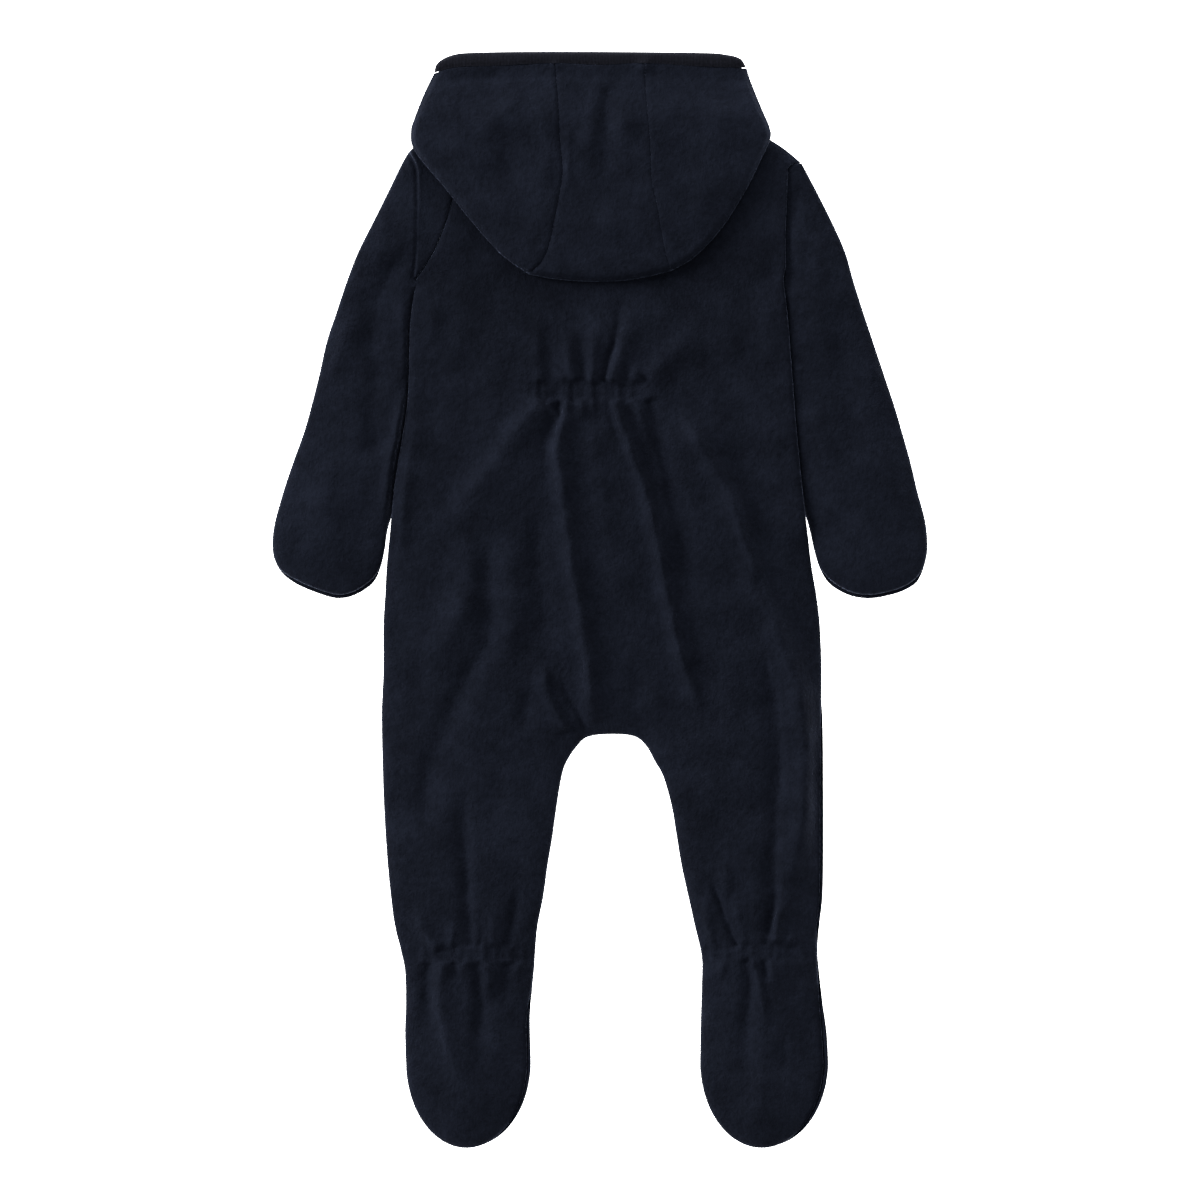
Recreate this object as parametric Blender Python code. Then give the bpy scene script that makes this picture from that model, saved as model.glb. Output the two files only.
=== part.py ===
"""Fleece baby snowsuit, laid out flat on a table with its back up.

Every cut piece of cloth is one closed wall. The front panels and the undersides of the
sleeves lie flat on the table, the one-piece back lies on the front, and the hood lies
folded over the upper back. Tables are in millimetres: x is to the wearer's right, y runs
from the feet (low) to the hood (high), z is up from the table. MM turns them into metres.
"""
import math
from collections import namedtuple

import bmesh
import bpy
import numpy as np
from mathutils import Vector
from mathutils.geometry import delaunay_2d_cdt

MM = 0.001

# The cloth and how the pieces lie on each other.
WALL = 2.5               # thickness of the fleece with its pile
SEAM = 0.3               # space between two pieces at a seam
LAYER = WALL + SEAM      # from one layer's underside to the next one's
PAIR = LAYER + WALL      # top of two layers that lie on each other
ROLL = 2.8               # radius of a rolled edge
LIFT = PAIR + 1.4        # the body's sides lie this high, on the sleeves' inner margins
FRONT_LIFT = 0.92        # the share of that lift that the front has below the back
HOOD_FLOOR = 10.2        # underside of the folded hood where it lies on the back
UNDER_HOOD = HOOD_FLOOR - 0.5   # highest that anything below the hood may be
HOOD_EDGE = 16.4         # top of the hood's upper layer along its folded edge
HOOD_BRIM = 10.4         # the same at the face opening, past the neck

# How closely the surfaces are sampled.
OUTLINE_STEP = 7.5
FIELD_STEP = 14.0
FOLD_STEP = 12.0
EDGE_ROW = 3.5
EDGE_ROOM = 1.6
LIFT_ROWS = (6, 11, 15, 19, 23, 27)
SIDE_ROWS = (0.8, 8.0)   # points of a sleeve beside the body's edge
CURVE_STEP = 6.0         # the same for the lines that heights are measured from
MERGE = 1e-5
SHARP = math.radians(75)

# Body and legs: one row for each station, y, left edge, right edge.
SIDES = (
    (193, -110, 110), (165, -114, 113), (126, -115, 116), (101, -118, 118),
    (71, -123, 121), (41, -126, 124.5), (20, -128, 127), (2, -129, 130),
    (-16, -130, 132), (-43, -130, 133), (-70, -131, 133.5), (-115, -130, 134),
    (-151, -128, 134), (-178, -125.5, 133.5), (-196, -123, 131.5), (-210, -119.5, 130.5),
    (-223, -117, 131.5), (-241, -116.5, 133.5), (-259, -117, 136), (-277, -116.5, 137),
)
# Inside of the legs: y, left leg, right leg.
INSEAMS = (
    (-88, -14, 28), (-97, -20, 33), (-106, -23, 38), (-124, -26, 43), (-142, -28.5, 46),
    (-160, -31.5, 49), (-178, -34, 53), (-196, -37.5, 57), (-214, -39, 61),
    (-232, -40.5, 61), (-250, -42, 60.5), (-277, -41.5, 60),
)
CROTCH = ((-7, -82), (8, -80.5), (21, -82))
TOE_Y = -277             # the toes are half ellipses below this line
TOE_LENGTH = 51.8
TOE_POINTS = 9
# Where the front shows past the back: y, right leg's outside, left foot's inside.
PEEKS = (
    (-60, 0, 0), (-80, 1.8, 0), (-190, 1.8, 0), (-210, 0.4, 0), (-232, 1.2, 0.4),
    (-255, 3.2, 2.6), (-300, 3.4, 2.8), (-329, 0.6, 0.6),
)
FRONT_INSET = 0.8        # elsewhere the front's edge is this far inside the back's

# Neck and underarm, on the wearer's right.
NECK_SIDE = (58, 296)
BACK_NECK = ((-30, 291), (0, 289), (30, 291))
FRONT_NECK = ((46, 279), (27, 265), (10, 260))
UNDERARM = (110.5, 193)

# Sleeves: the armhole from the shoulder to the underarm, the outer edge from the shoulder to
# the mitten's tip, and the inner edge, which runs under the body's side as far as the hip.
# On the right the back is folded over the sleeve, and its fold hides the armhole seam.
LEFT_ARMHOLE = (
    (-91.5, 283), (-87, 269), (-86.5, 254), (-89, 239), (-93, 226), (-99, 211), (-106, 199),
    (-110.5, 193),
)
RIGHT_ARMHOLE = (
    (121, 262), (116, 261.5), (112.4, 258.6), (111.2, 252), (110.7, 238), (110, 222),
    (110, 207), UNDERARM,
)
RIGHT_SHOULDER = ((91.5, 283), (102.5, 276), (111.5, 270), (121, 262))
LEFT_OUTER = (
    (-91.5, 283), (-103, 275.5), (-117, 264), (-127, 245), (-136, 227), (-145, 209),
    (-152, 191), (-158, 173), (-164, 155), (-168, 137), (-172.5, 119), (-177.5, 101),
    (-184, 83), (-190, 65), (-195, 47), (-196.5, 35), (-195.5, 25), (-190.5, 16),
    (-181, 9), (-166, 3),
)
RIGHT_OUTER = (
    (121, 262), (130.5, 244), (139, 227),
    (147, 209), (152.5, 190), (158.5, 171), (164.5, 153), (170.5, 135), (176.5, 117),
    (181.5, 100), (186.5, 82), (190.5, 65), (195, 48), (196.5, 34), (195.5, 24),
    (191, 12), (183, 6), (172, 2.5),
)
UNDER_SIDE = ((111.1, 189), (111.9, 184.5), (112.6, 180), (110, 168), (107, 152), (106, 130),
              (108, 105), (112.5, 84))
LEFT_INNER = ((-119, 65), (-125, 50), (-127.6, 41), (-129, 31), (-131.5, 20), (-136, 10.5),
              (-146, 3.5), (-156, 1))
RIGHT_INNER = ((118, 65), (123.5, 50), (126, 41), (128.2, 31), (131.5, 20), (137.5, 10),
               (149, 3), (161, 1))

# Hood: its folded outline, the two seams between its panels and the strip round its face
# opening, each from the opening (top) to the crown (bottom).
HOOD_LEFT_EDGE = (
    (-99.5, 316), (-105, 305), (-111, 290), (-113.5, 281), (-111, 269), (-93, 247),
    (-77, 227), (-60, 208), (-43, 195.5),
)
HOOD_RIGHT_EDGE = (
    (88, 319), (90.5, 311), (97, 295), (102, 283), (102, 276), (96, 263), (87, 245),
    (73, 223), (57, 206), (43, 197.5),
)
HOOD_CROWN = ((-43, 195.5), (-27, 192.5), (-3, 191), (21, 192.5), (43, 197.5))
HOOD_SEAM_LEFT = (
    (-27, 322), (-25, 298), (-24, 275), (-22.5, 259), (-24, 245), (-27, 230), (-30, 215),
    (-35, 203), (-43, 195.5),
)
HOOD_SEAM_RIGHT = (
    (27, 322), (27.5, 305), (30, 275), (31, 253), (34, 238), (36.5, 223), (39.5, 207),
    (43, 197.5),
)
HOOD_BROW = (
    (-99.5, 316), (-86, 319.5), (-60, 320.5), (-27, 322), (0, 321), (27, 322), (60, 320),
    (88, 319),
)
STRIP_TOP = (
    (-99.5, 316.4), (-97.5, 322), (-87, 326.6), (-48, 328), (0, 328.8), (60, 328.2),
    (75, 327.4), (84, 325), (88, 319.4),
)
STRIP_THICKNESS = 4.2
STRIP_WIDTH = 7.0
STRIP_PROUD = 0.5        # its middle is this much above the panels
STRIP_ROUND = 1.6        # and its sides are this much lower
UNDER_STRIP = 4.0        # top of the hidden layers below the strip
HIDDEN_ROOM = 1.8        # space for the upper layer's seams and folds above them
NECK_STEP = 1.6          # they reach down to the table this far past the neck
HOOD_INSET = 2.2         # the hidden layers' edge is this far inside the upper layer's

# Front opening.
ZIP_X = 0.5
ZIP_TOP = 259.0
ZIP_END = -46.0
ZIP_HALF_GAP = 4.6
ZIP_HEIGHT = 2.0
SLIDER_LENGTH = 10.0
SLIDER_HALF_WIDTH = 3.6
SLIDER_HEIGHT = 2.4

# Folds: the path of the crest, its height (negative for a trough), the width of its left and
# right flanks when following the path, how much wider it is at its far end, and the shares
# of its length over which it grows and fades.
Fold = namedtuple("Fold", "path height left right spread grow fade")
BACK_FOLDS = tuple(Fold(*row) for row in (
    # Below the waist elastic, from the left hip to the right.
    (((-36, 122), (-46, 113), (-52, 103), (-66, 83), (-84, 59), (-99, 41)),
     4.4, 3.5, 6, 2.2, 0.1, 0.6),
    (((-33, 119), (-38, 100), (-48, 78), (-62, 55)), -2.4, 3.5, 3, 2.2, 0.15, 0.6),
    (((-30, 120), (-32, 110)), 1.8, 2.2, 2.2, 1.2, 0.3, 0.4),
    (((-24, 121), (-27, 101), (-26, 83), (-24, 59), (-20, 23), (-15, -13), (-9, -49),
      (-6, -78)), 7.0, 5, 4, 2.2, 0.06, 0.62),
    (((-29, 114), (-34, 95), (-37, 60), (-38, 20)), -1.8, 4, 4, 2.6, 0.2, 0.5),
    (((-18, 118), (-18, 104)), -1.6, 2.2, 2.2, 1.2, 0.2, 0.5),
    (((-14, 119), (-12, 100), (-4, 60), (2, 10)), 2.4, 5, 4, 3.5, 0.1, 0.6),
    (((2, 122), (6, 115), (10, 100), (17, 76), (24, 52)), -2.6, 2, 4.5, 2.2, 0.1, 0.6),
    (((6, 119), (12, 101), (18, 83), (25, 59), (33, 23), (39, -13), (50, -49), (55, -60)),
     7.2, 5, 2.8, 2.3, 0.06, 0.6),
    (((26, 118), (30, 101), (34, 83), (40, 59), (48, 23), (56, -13), (66, -49)),
     -2.2, 6, 4, 2.2, 0.12, 0.5),
    (((38, 119), (52, 101), (62, 83), (76, 59), (88, 23), (103, -13), (114, -49),
      (117, -75), (114, -103), (114, -131), (109, -157), (106, -178)),
     5.8, 6.5, 5, 1.8, 0.25, 0.45),
    (((84, -8), (98, -48), (104, -90), (103, -130), (99, -168), (97, -198)),
     -2.8, 5, 7, 1.3, 0.25, 0.35),
    # Left hip.
    (((-56, 50), (-54, 20), (-54, -13), (-62, -49), (-72, -80)), 4.6, 8, 7, 1.5, 0.3, 0.5),
    (((-70, 36), (-78, -5), (-84, -40), (-92, -72), (-106, -100)),
     -3.0, 6, 6, 1.6, 0.25, 0.4),
    (((-80, 50), (-90, 5), (-98, -40)), 2.2, 7, 7, 1.5, 0.3, 0.5),
    # At the crotch.
    (((-34, -42), (-32, -61), (-25, -77)), 2.6, 3.2, 4.5, 1.0, 0.35, 0.2),
    (((-26, -52), (-16, -70), (-8, -80)), -2.2, 3.2, 3, 1.0, 0.35, 0.1),
    (((27, -36), (29, -68)), 1.8, 3.5, 2.4, 1.0, 0.3, 0.4),
    # Above the waist elastic.
    (((-36, 131), (-38, 147), (-41, 168)), 2.4, 3, 3.5, 1.8, 0.1, 0.6),
    (((-20, 131), (-24, 150), (-27, 172)), 3.0, 3.6, 4, 1.6, 0.1, 0.5),
    (((-9, 131), (-7, 150), (-5, 174)), 2.6, 3.2, 3, 1.6, 0.1, 0.5),
    (((0, 131), (4, 146), (9, 162), (15, 187)), -2.4, 2.2, 1.8, 1.4, 0.1, 0.5),
    (((4.5, 131), (9, 148), (15, 165), (23, 181)), 3.0, 4.5, 2.2, 1.8, 0.1, 0.5),
    (((17, 131), (20, 140), (25, 148)), 1.8, 3, 2.5, 1.2, 0.2, 0.5),
    (((27, 132), (34, 141), (44, 151), (58, 165)), 3.0, 3.2, 4.2, 2.0, 0.1, 0.5),
    # Lower legs and feet.
    (((-87, -118), (-86, -150), (-85, -180), (-83, -206)), -2.2, 5, 5, 0.7, 0.4, 0.1),
    (((-106, -176), (-104, -194), (-97, -208)), 2.6, 5, 3, 0.8, 0.4, 0.15),
    (((-53, -172), (-56, -190), (-60, -206)), -1.8, 3.5, 3.5, 0.8, 0.4, 0.1),
    (((-98, -217), (-98, -240), (-96, -265), (-87, -293)), 2.6, 5, 4, 1.6, 0.1, 0.5),
    (((-75, -217), (-75, -250), (-74, -290)), -1.8, 4, 4, 1.5, 0.15, 0.5),
    (((-66, -217), (-65, -248)), 1.6, 3.5, 3, 1.3, 0.15, 0.5),
    (((67, -173), (73, -190), (80, -205)), -2.2, 3, 3, 0.8, 0.4, 0.1),
    (((104, -173), (101, -190), (99, -203)), -2.4, 2.4, 3.5, 0.8, 0.4, 0.1),
    (((86, -217), (87, -228), (89, -246)), -1.8, 2.2, 2.6, 1.3, 0.1, 0.5),
    (((90, -217), (94, -232), (96, -250), (96, -300)), 2.6, 4, 3.5, 1.8, 0.1, 0.6),
    (((102, -217), (104, -234)), 1.6, 3, 2.5, 1.2, 0.1, 0.5),
))
LEFT_SLEEVE_FOLDS = tuple(Fold(*row) for row in (
    # The step where the cloth beside the armhole turns over the rest of the sleeve.
    (((-114, 267), (-109.5, 254), (-108.5, 232), (-109.5, 210), (-111, 190)),
     3.0, 12, 2.2, 1.0, 0.5, 0.05),
    (((-137, 196), (-139, 165), (-141, 125), (-147, 80)), -2.2, 9, 9, 1.1, 0.3, 0.4),
    (((-119.5, 126), (-124.5, 102), (-128.5, 80), (-131, 66)), 1.8, 3, 3, 1.3, 0.3, 0.4),
    (((-160, 90), (-168, 60), (-172, 35)), 1.4, 9, 9, 1.0, 0.4, 0.5),
))
RIGHT_SLEEVE_FOLDS = tuple(Fold(*row) for row in (
    (((137, 190), (141, 150), (146, 110), (152, 75)), -2.0, 9, 9, 1.1, 0.3, 0.4),
    (((128, 214), (134, 196), (139, 176)), 1.6, 5, 5, 1.0, 0.3, 0.5),
    (((165, 88), (170, 60), (172, 32)), 1.4, 9, 9, 1.0, 0.4, 0.5),
))
HOOD_FOLDS = tuple(Fold(*row) for row in (
    (((2, 314), (2, 290), (4, 262), (3, 232)), -1.6, 6, 6, 1.6, 0.2, 0.5),
    (((-80, 262), (-62, 244), (-48, 224)), 1.4, 10, 10, 1.2, 0.3, 0.4),
    (((-72, 300), (-56, 284), (-44, 262)), -1.5, 9, 9, 1.2, 0.3, 0.4),
    (((84, 268), (70, 252), (56, 232)), 1.4, 10, 10, 1.2, 0.3, 0.4),
    (((72, 304), (60, 286), (50, 262)), -1.4, 9, 9, 1.2, 0.3, 0.4),
))

# Gathers along a sewn elastic: its two ends, half the band's height, the number of small
# ridges, their height, and how far they reach above and below.
Gather = namedtuple("Gather", "start end half_band count height above below phase")
WAIST = Gather((-41.5, 125.4), (24.5, 125.4), 4.2, 9, 1.9, 9.0, 8.0, 0.4)
ANKLE_LEFT = Gather((-119, -212), (-39.5, -213), 2.4, 9, 1.9, 11.0, 9.0, 1.3)
ANKLE_RIGHT = Gather((61, -212.5), (130, -210.5), 3.0, 8, 1.9, 11.0, 9.0, 2.6)
GATHERS = (WAIST, ANKLE_LEFT, ANKLE_RIGHT)
# How uneven the ridges are, from one to the next: in place, in height and in length.
Wave = namedtuple("Wave", "amount turn shift")
PLACE = Wave(0.2, 2.4, 1.0)
SIZE = Wave(0.4, 1.9, 2.0)
STRETCH = Wave(0.4, 2.9, 3.0)
BAND_FLATTENS = 0.35
BAND_DEPTH = 2.2         # how far an elastic pulls the cloth down
BAND_REACH = 4.0
GATHER_WIDTH = 0.33      # half width of a ridge as a share of the pitch
GATHER_FAN = 0.012       # how fast the ridges spread away from the band
GATHER_COLUMNS = 3       # columns of points for each ridge
GATHER_ROWS = (1.8, 0.8) # rows of points, as shares of how far the ridges reach

# Where the sleeves' inner margins raise the body's sides.
LIFT_TOP = 193.0
LIFT_TOP_SLOPE = 14.0
LIFT_END = 27.0
LIFT_END_SLOPE = 20.0
LIFT_DEPTH = 27.0
LIFT_DEPTH_SLOPE = 16.0

FOLD_MARGIN = 9.0        # folds fade out this close to an edge
GATHER_MARGIN = 4.0
BACK_FLOOR = PAIR + 0.1  # troughs never go below these, with a turn this soft
BACK_FLOOR_TURN = 0.8
SLEEVE_FLOOR = PAIR - 0.1
SLEEVE_FLOOR_TURN = 0.15
SLEEVE_ROOM = 99.0       # above the underarm nothing lies on a sleeve
EDGE_DROP = 1.2          # how far the top of an edge rolls down
BODY_PUFF = 4.2          # how far air under the cloth raises it, and over what distance
BODY_PUFF_REACH = 17.0
SLEEVE_PUFF = 3.6
SLEEVE_PUFF_REACH = 14.0
HOOD_PUFF = 4.6
HOOD_PUFF_REACH = 24.0
SEAM_DIP = 1.3           # a seam draws the cloth down by this much
SEAM_DIP_REACH = 3.0
ARMHOLE_TOP = 8.4        # height of the cloth on both sides of the left armhole seam
ARMHOLE_REACH = 13.0
FOLD_TOP = 9.5           # height of the back along its fold over the right sleeve
FOLD_FOOT = 6.6          # and of the sleeve beside it
FOLD_START = 9.0         # it rises over this distance from the shoulder's edge
PRESS_FROM = 180.0       # from here up the hood presses the cloth below it flat
PRESS_SLOPE = 16.0
UNDERARM_SLOPE = 14.0    # a sleeve rises over this distance beside the body
BRIM_FROM = 284.0        # from here up the hood sinks past the neck
BRIM_SLOPE = 36.0
STRIP_FROM = 304.0       # from here up its hidden layers thin out below the strip
STRIP_SLOPE = 8.0

NAVY = (0.0095, 0.0115, 0.0185, 1.0)
STRIP_BLACK = (0.0055, 0.0060, 0.0085, 1.0)
ZIP_NAVY = (0.0100, 0.0120, 0.0200, 1.0)


# ---- lines in the plane -------------------------------------------------------------------

def curve(points, step):
    """A smooth curve through the points, with a point about every step millimetres."""
    p = np.asarray(points, float)
    q = np.vstack([2 * p[0] - p[1], p, 2 * p[-1] - p[-2]])
    t = np.linspace(0, 1, 12, endpoint=False)[:, None]
    parts = []
    for a, b, c, d in zip(q, q[1:], q[2:], q[3:]):
        parts.append(0.5 * (2 * b + (c - a) * t + (2 * a - 5 * b + 4 * c - d) * t ** 2
                            + (3 * b - a - 3 * c + d) * t ** 3))
    dense = np.vstack(parts + [p[-1:]])
    return spaced(dense, max(1, int(round(line_length(dense) / step))))


def line_length(line):
    return np.hypot(*np.diff(line, axis=0).T).sum()


def spaced(line, count):
    """The same line, divided into equal steps."""
    run = np.r_[0, np.cumsum(np.hypot(*np.diff(line, axis=0).T))]
    stations = np.linspace(0, run[-1], count + 1)
    return np.c_[np.interp(stations, run, line[:, 0]), np.interp(stations, run, line[:, 1])]


def along(line, x, y):
    """Signed distance from a line, positive on its left, and the share of its length."""
    line = np.asarray(line, float)
    best = np.full(np.shape(x), np.inf)
    side = np.zeros_like(best)
    share = np.zeros_like(best)
    lengths = np.hypot(*np.diff(line, axis=0).T)
    total, run = lengths.sum(), 0.0
    for (ax, ay), (bx, by), size in zip(line, line[1:], lengths):
        ux, uy = (bx - ax) / size, (by - ay) / size
        t = np.clip((x - ax) * ux + (y - ay) * uy, 0, size)
        dx, dy = x - ax - t * ux, y - ay - t * uy
        d = np.hypot(dx, dy)
        near = d < best
        best = np.where(near, d, best)
        side = np.where(near, ux * dy - uy * dx, side)
        share = np.where(near, (run + t) / total, share)
        run += size
    return np.where(side < 0, -best, best), share


def distance(line, x, y):
    """Distance from a line."""
    return np.abs(along(line, x, y)[0])


def beside(line, shift):
    """A line moved sideways, to its left."""
    tangent = np.gradient(line, axis=0)
    tangent /= np.hypot(*tangent.T)[:, None]
    return line + shift * np.c_[-tangent[:, 1], tangent[:, 0]]


def mirrored(points):
    """The same points on the wearer's left."""
    return tuple((-x, y) for x, y in points)


def ease(t):
    """Smooth step from 0 to 1."""
    t = np.clip(t, 0, 1)
    return t * t * (3 - 2 * t)


def column(rows, y, index):
    """The value of a table's column at height y, for rows that run downwards."""
    table = np.asarray(rows, float)
    return np.interp(-np.asarray(y, float), -table[:, 0], table[:, index])


# ---- outlines -------------------------------------------------------------------------------

def toe(left, right, depth):
    """Half an ellipse round the toes, from the left edge to the right."""
    middle, half = (left + right) / 2, (right - left) / 2
    angles = np.linspace(math.pi, 2 * math.pi, TOE_POINTS + 2)[1:-1]
    return np.c_[middle + half * np.cos(angles), TOE_Y + depth * np.sin(angles)]


def legs(front):
    """The body's edge from the right underarm round both legs to the left underarm."""
    sides, seams = np.asarray(SIDES, float), np.asarray(INSEAMS, float)
    outer_peek, foot_peek = column(PEEKS, sides[:, 0], 1), column(PEEKS, seams[:, 0], 2)
    inset = FRONT_INSET if front else 0.0
    outer_shift = np.where(outer_peek > 0, 0 if front else outer_peek, inset)
    foot_shift = np.where(foot_peek > 0, 0 if front else foot_peek, inset)
    right = np.c_[sides[:, 2] - outer_shift, sides[:, 0]]
    left = np.c_[sides[:, 1] + inset, sides[:, 0]]
    inner_left = np.c_[seams[:, 1] - foot_shift, seams[:, 0]]
    inner_right = np.c_[seams[:, 2] + inset, seams[:, 0]]
    crotch = np.asarray(CROTCH, float)[::-1] + (0, inset)
    depth = TOE_LENGTH - inset / 2
    toes_right = toe(inner_right[-1, 0], right[-1, 0], depth)[::-1]
    toes_left = toe(left[-1, 0], inner_left[-1, 0], depth)[::-1]
    return curve(np.vstack([right, toes_right, inner_right[::-1], crotch, inner_left,
                            toes_left, left[::-1]]), OUTLINE_STEP)


def sleeve_edge(side):
    """A sleeve's closed edge, from the shoulder round the mitten to the underarm."""
    hidden = (UNDERARM,) + UNDER_SIDE
    if side > 0:
        return curve(RIGHT_OUTER + (hidden + RIGHT_INNER)[::-1], OUTLINE_STEP)
    return curve(LEFT_OUTER + (mirrored(hidden) + LEFT_INNER)[::-1], OUTLINE_STEP)


def back_neck():
    """The back's neckline, from the wearer's left to the right."""
    return curve(mirrored((NECK_SIDE,)) + BACK_NECK + (NECK_SIDE,), OUTLINE_STEP)


def back_loop():
    """Outline of the back, clockwise from the left end of the neck."""
    return np.vstack([back_neck(), SHOULDER[:-1], beside(ARMHOLE_RIGHT, -SEAM)[:-1],
                      BODY_EDGE, beside(ARMHOLE_LEFT, SEAM)[-2::-1]])


def front_loop(side):
    """Outline of one front panel; side is -1 for the wearer's left, 1 for the right."""
    edge = legs(front=True)
    middle = int(np.argmin(np.hypot(edge[:, 0] - ZIP_X, edge[:, 1] - CROTCH[1][1])))
    slit = SEAM / 2
    if side > 0:
        half = edge[:middle + 1]
        hole = np.vstack([SHOULDER[:-1] - (0, FRONT_INSET), beside(ARMHOLE_RIGHT, -SEAM)[:-1]])
    else:
        half = edge[:middle - 1:-1]
        hole = beside(ARMHOLE_LEFT, SEAM)[:-1]
    half = half[side * (half[:, 0] - ZIP_X) > slit + 1]
    near, far = ZIP_X + side * slit, ZIP_X + side * ZIP_HALF_GAP
    centre = [(near, half[-1, 1]), (near, ZIP_END - ZIP_HALF_GAP), (far, ZIP_END),
              (far, ZIP_TOP + SEAM)]
    neck = [(side * x, y) for x, y in FRONT_NECK[::-1]]
    corner = [(side * NECK_SIDE[0], NECK_SIDE[1])]
    return np.vstack([hole, half, centre, curve(neck + corner, OUTLINE_STEP)])


def inside(loop, x, y):
    """Which points are inside a closed outline."""
    hits = np.zeros(np.shape(x), int)
    for (ax, ay), (bx, by) in zip(loop, np.roll(loop, -1, axis=0)):
        if ay != by:
            crosses = (ay > y) != (by > y)
            hits += crosses & (x < ax + (y - ay) * (bx - ax) / (by - ay))
    return hits % 2 == 1


ARMHOLE_LEFT = curve(LEFT_ARMHOLE, OUTLINE_STEP)
ARMHOLE_RIGHT = curve(RIGHT_ARMHOLE, OUTLINE_STEP)
SHOULDER = curve(RIGHT_SHOULDER, OUTLINE_STEP)
BODY_EDGE = legs(front=False)
HOOD_FOLDED_EDGE = np.vstack([
    curve(HOOD_LEFT_EDGE, OUTLINE_STEP)[:-1], curve(HOOD_CROWN, OUTLINE_STEP)[:-1],
    curve(HOOD_RIGHT_EDGE, OUTLINE_STEP)[::-1],
])


# ---- the height of the cloth ----------------------------------------------------------------

def relief(folds, x, y):
    """The sum of a table of folds."""
    height = np.zeros(np.shape(x))
    for fold in folds:
        d, share = along(curve(fold.path, CURVE_STEP), x, y)
        widen = 1 + (fold.spread - 1) * share
        width = np.where(d > 0, fold.left, fold.right) * widen
        ends = ease(share / fold.grow) * ease((1 - share) / fold.fade)
        height += fold.height * ends * np.exp(-(d / width) ** 2)
    return height


def uneven(wave, i, phase):
    """A small share, different for each ridge of a gather."""
    return wave.amount * math.sin(wave.turn * i + wave.shift * phase)


def gathers(gather, x, y):
    """Small uneven ridges that cross an elastic, and the trough that it pulls."""
    (ax, ay), (bx, by) = gather.start, gather.end
    length = math.hypot(bx - ax, by - ay)
    ux, uy = (bx - ax) / length, (by - ay) / length
    s = (x - ax) * ux + (y - ay) * uy
    n = (y - ay) * ux - (x - ax) * uy
    outside = np.maximum(np.abs(n) - gather.half_band, 0)
    reach = np.where(n > 0, gather.above, gather.below)
    pitch = length / gather.count
    height = -BAND_DEPTH * np.exp(-(outside / BAND_REACH) ** 2)
    for i in range(gather.count):
        centre = (i + 0.5 + uneven(PLACE, i, gather.phase)) * pitch
        size = gather.height * (1 + uneven(SIZE, i, gather.phase))
        stretch = 1 + uneven(STRETCH, i, gather.phase)
        fan = (centre - length / 2) * (1 + GATHER_FAN * outside) + length / 2
        ridge = np.exp(-((s - fan) / (GATHER_WIDTH * pitch)) ** 2)
        fade = np.exp(-(outside / (reach * stretch)) ** 2)
        band = 1 - BAND_FLATTENS * np.exp(-(n / gather.half_band) ** 2)
        height += size * ridge * fade * band
    ends = ease((s + BAND_REACH) / (2 * BAND_REACH))
    return height * ends * ease((length + BAND_REACH - s) / (2 * BAND_REACH))


def rolled(d):
    """Share of the full height at distance d from a rolled edge."""
    return np.sqrt(np.clip(1 - (1 - np.clip(d / ROLL, 0, 1)) ** 2, 0, 1))


def puff(d, amount, reach):
    """The slow rise of cloth with air under it, from a slightly rolled edge."""
    return EDGE_DROP * (rolled(d) - 1) + amount * (1 - np.exp(-np.maximum(d, 0) / reach))


def soft_floor(z, floor, width):
    """z, but never below the floor, with a soft turn."""
    return floor + width * np.logaddexp(0, (z - floor) / width)


def seam_dip(line, x, y):
    """How far a seam draws the cloth down."""
    return SEAM_DIP * np.exp(-(distance(line, x, y) / SEAM_DIP_REACH) ** 2)


def drawn_to(hole, height, x, y, z):
    """z, brought to one height near an armhole."""
    return height + (z - height) * ease(distance(hole, x, y) / ARMHOLE_REACH)


def pressed(z, y):
    """z, but never above the underside of the hood."""
    return np.where(z > UNDER_HOOD, z + (UNDER_HOOD - z) * ease((y - PRESS_FROM) / PRESS_SLOPE), z)


def side_line(side):
    """The body's side where it lies on a sleeve, from the underarm down."""
    return curve([(row[2 if side > 0 else 1], row[0]) for row in SIDES[:7]], OUTLINE_STEP)


def side_lift(x, y):
    """How far the sleeves' inner margins raise the body's sides."""
    inward = np.where(x < 0, x - column(SIDES, y, 1), column(SIDES, y, 2) - x)
    lengthwise = ease((LIFT_TOP - y) / LIFT_TOP_SLOPE) * ease((y - LIFT_END) / LIFT_END_SLOPE)
    return LIFT * lengthwise * ease((LIFT_DEPTH - inward) / LIFT_DEPTH_SLOPE)


def body_top(x, y):
    """Top of the back panel."""
    from_shoulder = distance(SHOULDER, x, y)
    d = np.minimum(distance(BODY_EDGE, x, y), from_shoulder)
    z = PAIR + puff(d, BODY_PUFF, BODY_PUFF_REACH)
    z = z + relief(BACK_FOLDS, x, y) * ease(d / FOLD_MARGIN)
    for gather in GATHERS:
        z = z + gathers(gather, x, y) * ease(d / GATHER_MARGIN)
    z = drawn_to(ARMHOLE_LEFT, ARMHOLE_TOP, x, y, z) - seam_dip(ARMHOLE_LEFT, x, y)
    folded = drawn_to(ARMHOLE_RIGHT, FOLD_TOP, x, y, z)
    z = z + (folded - z) * ease(from_shoulder / FOLD_START)
    return pressed(soft_floor(z, BACK_FLOOR, BACK_FLOOR_TURN) + side_lift(x, y), y)


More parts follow.
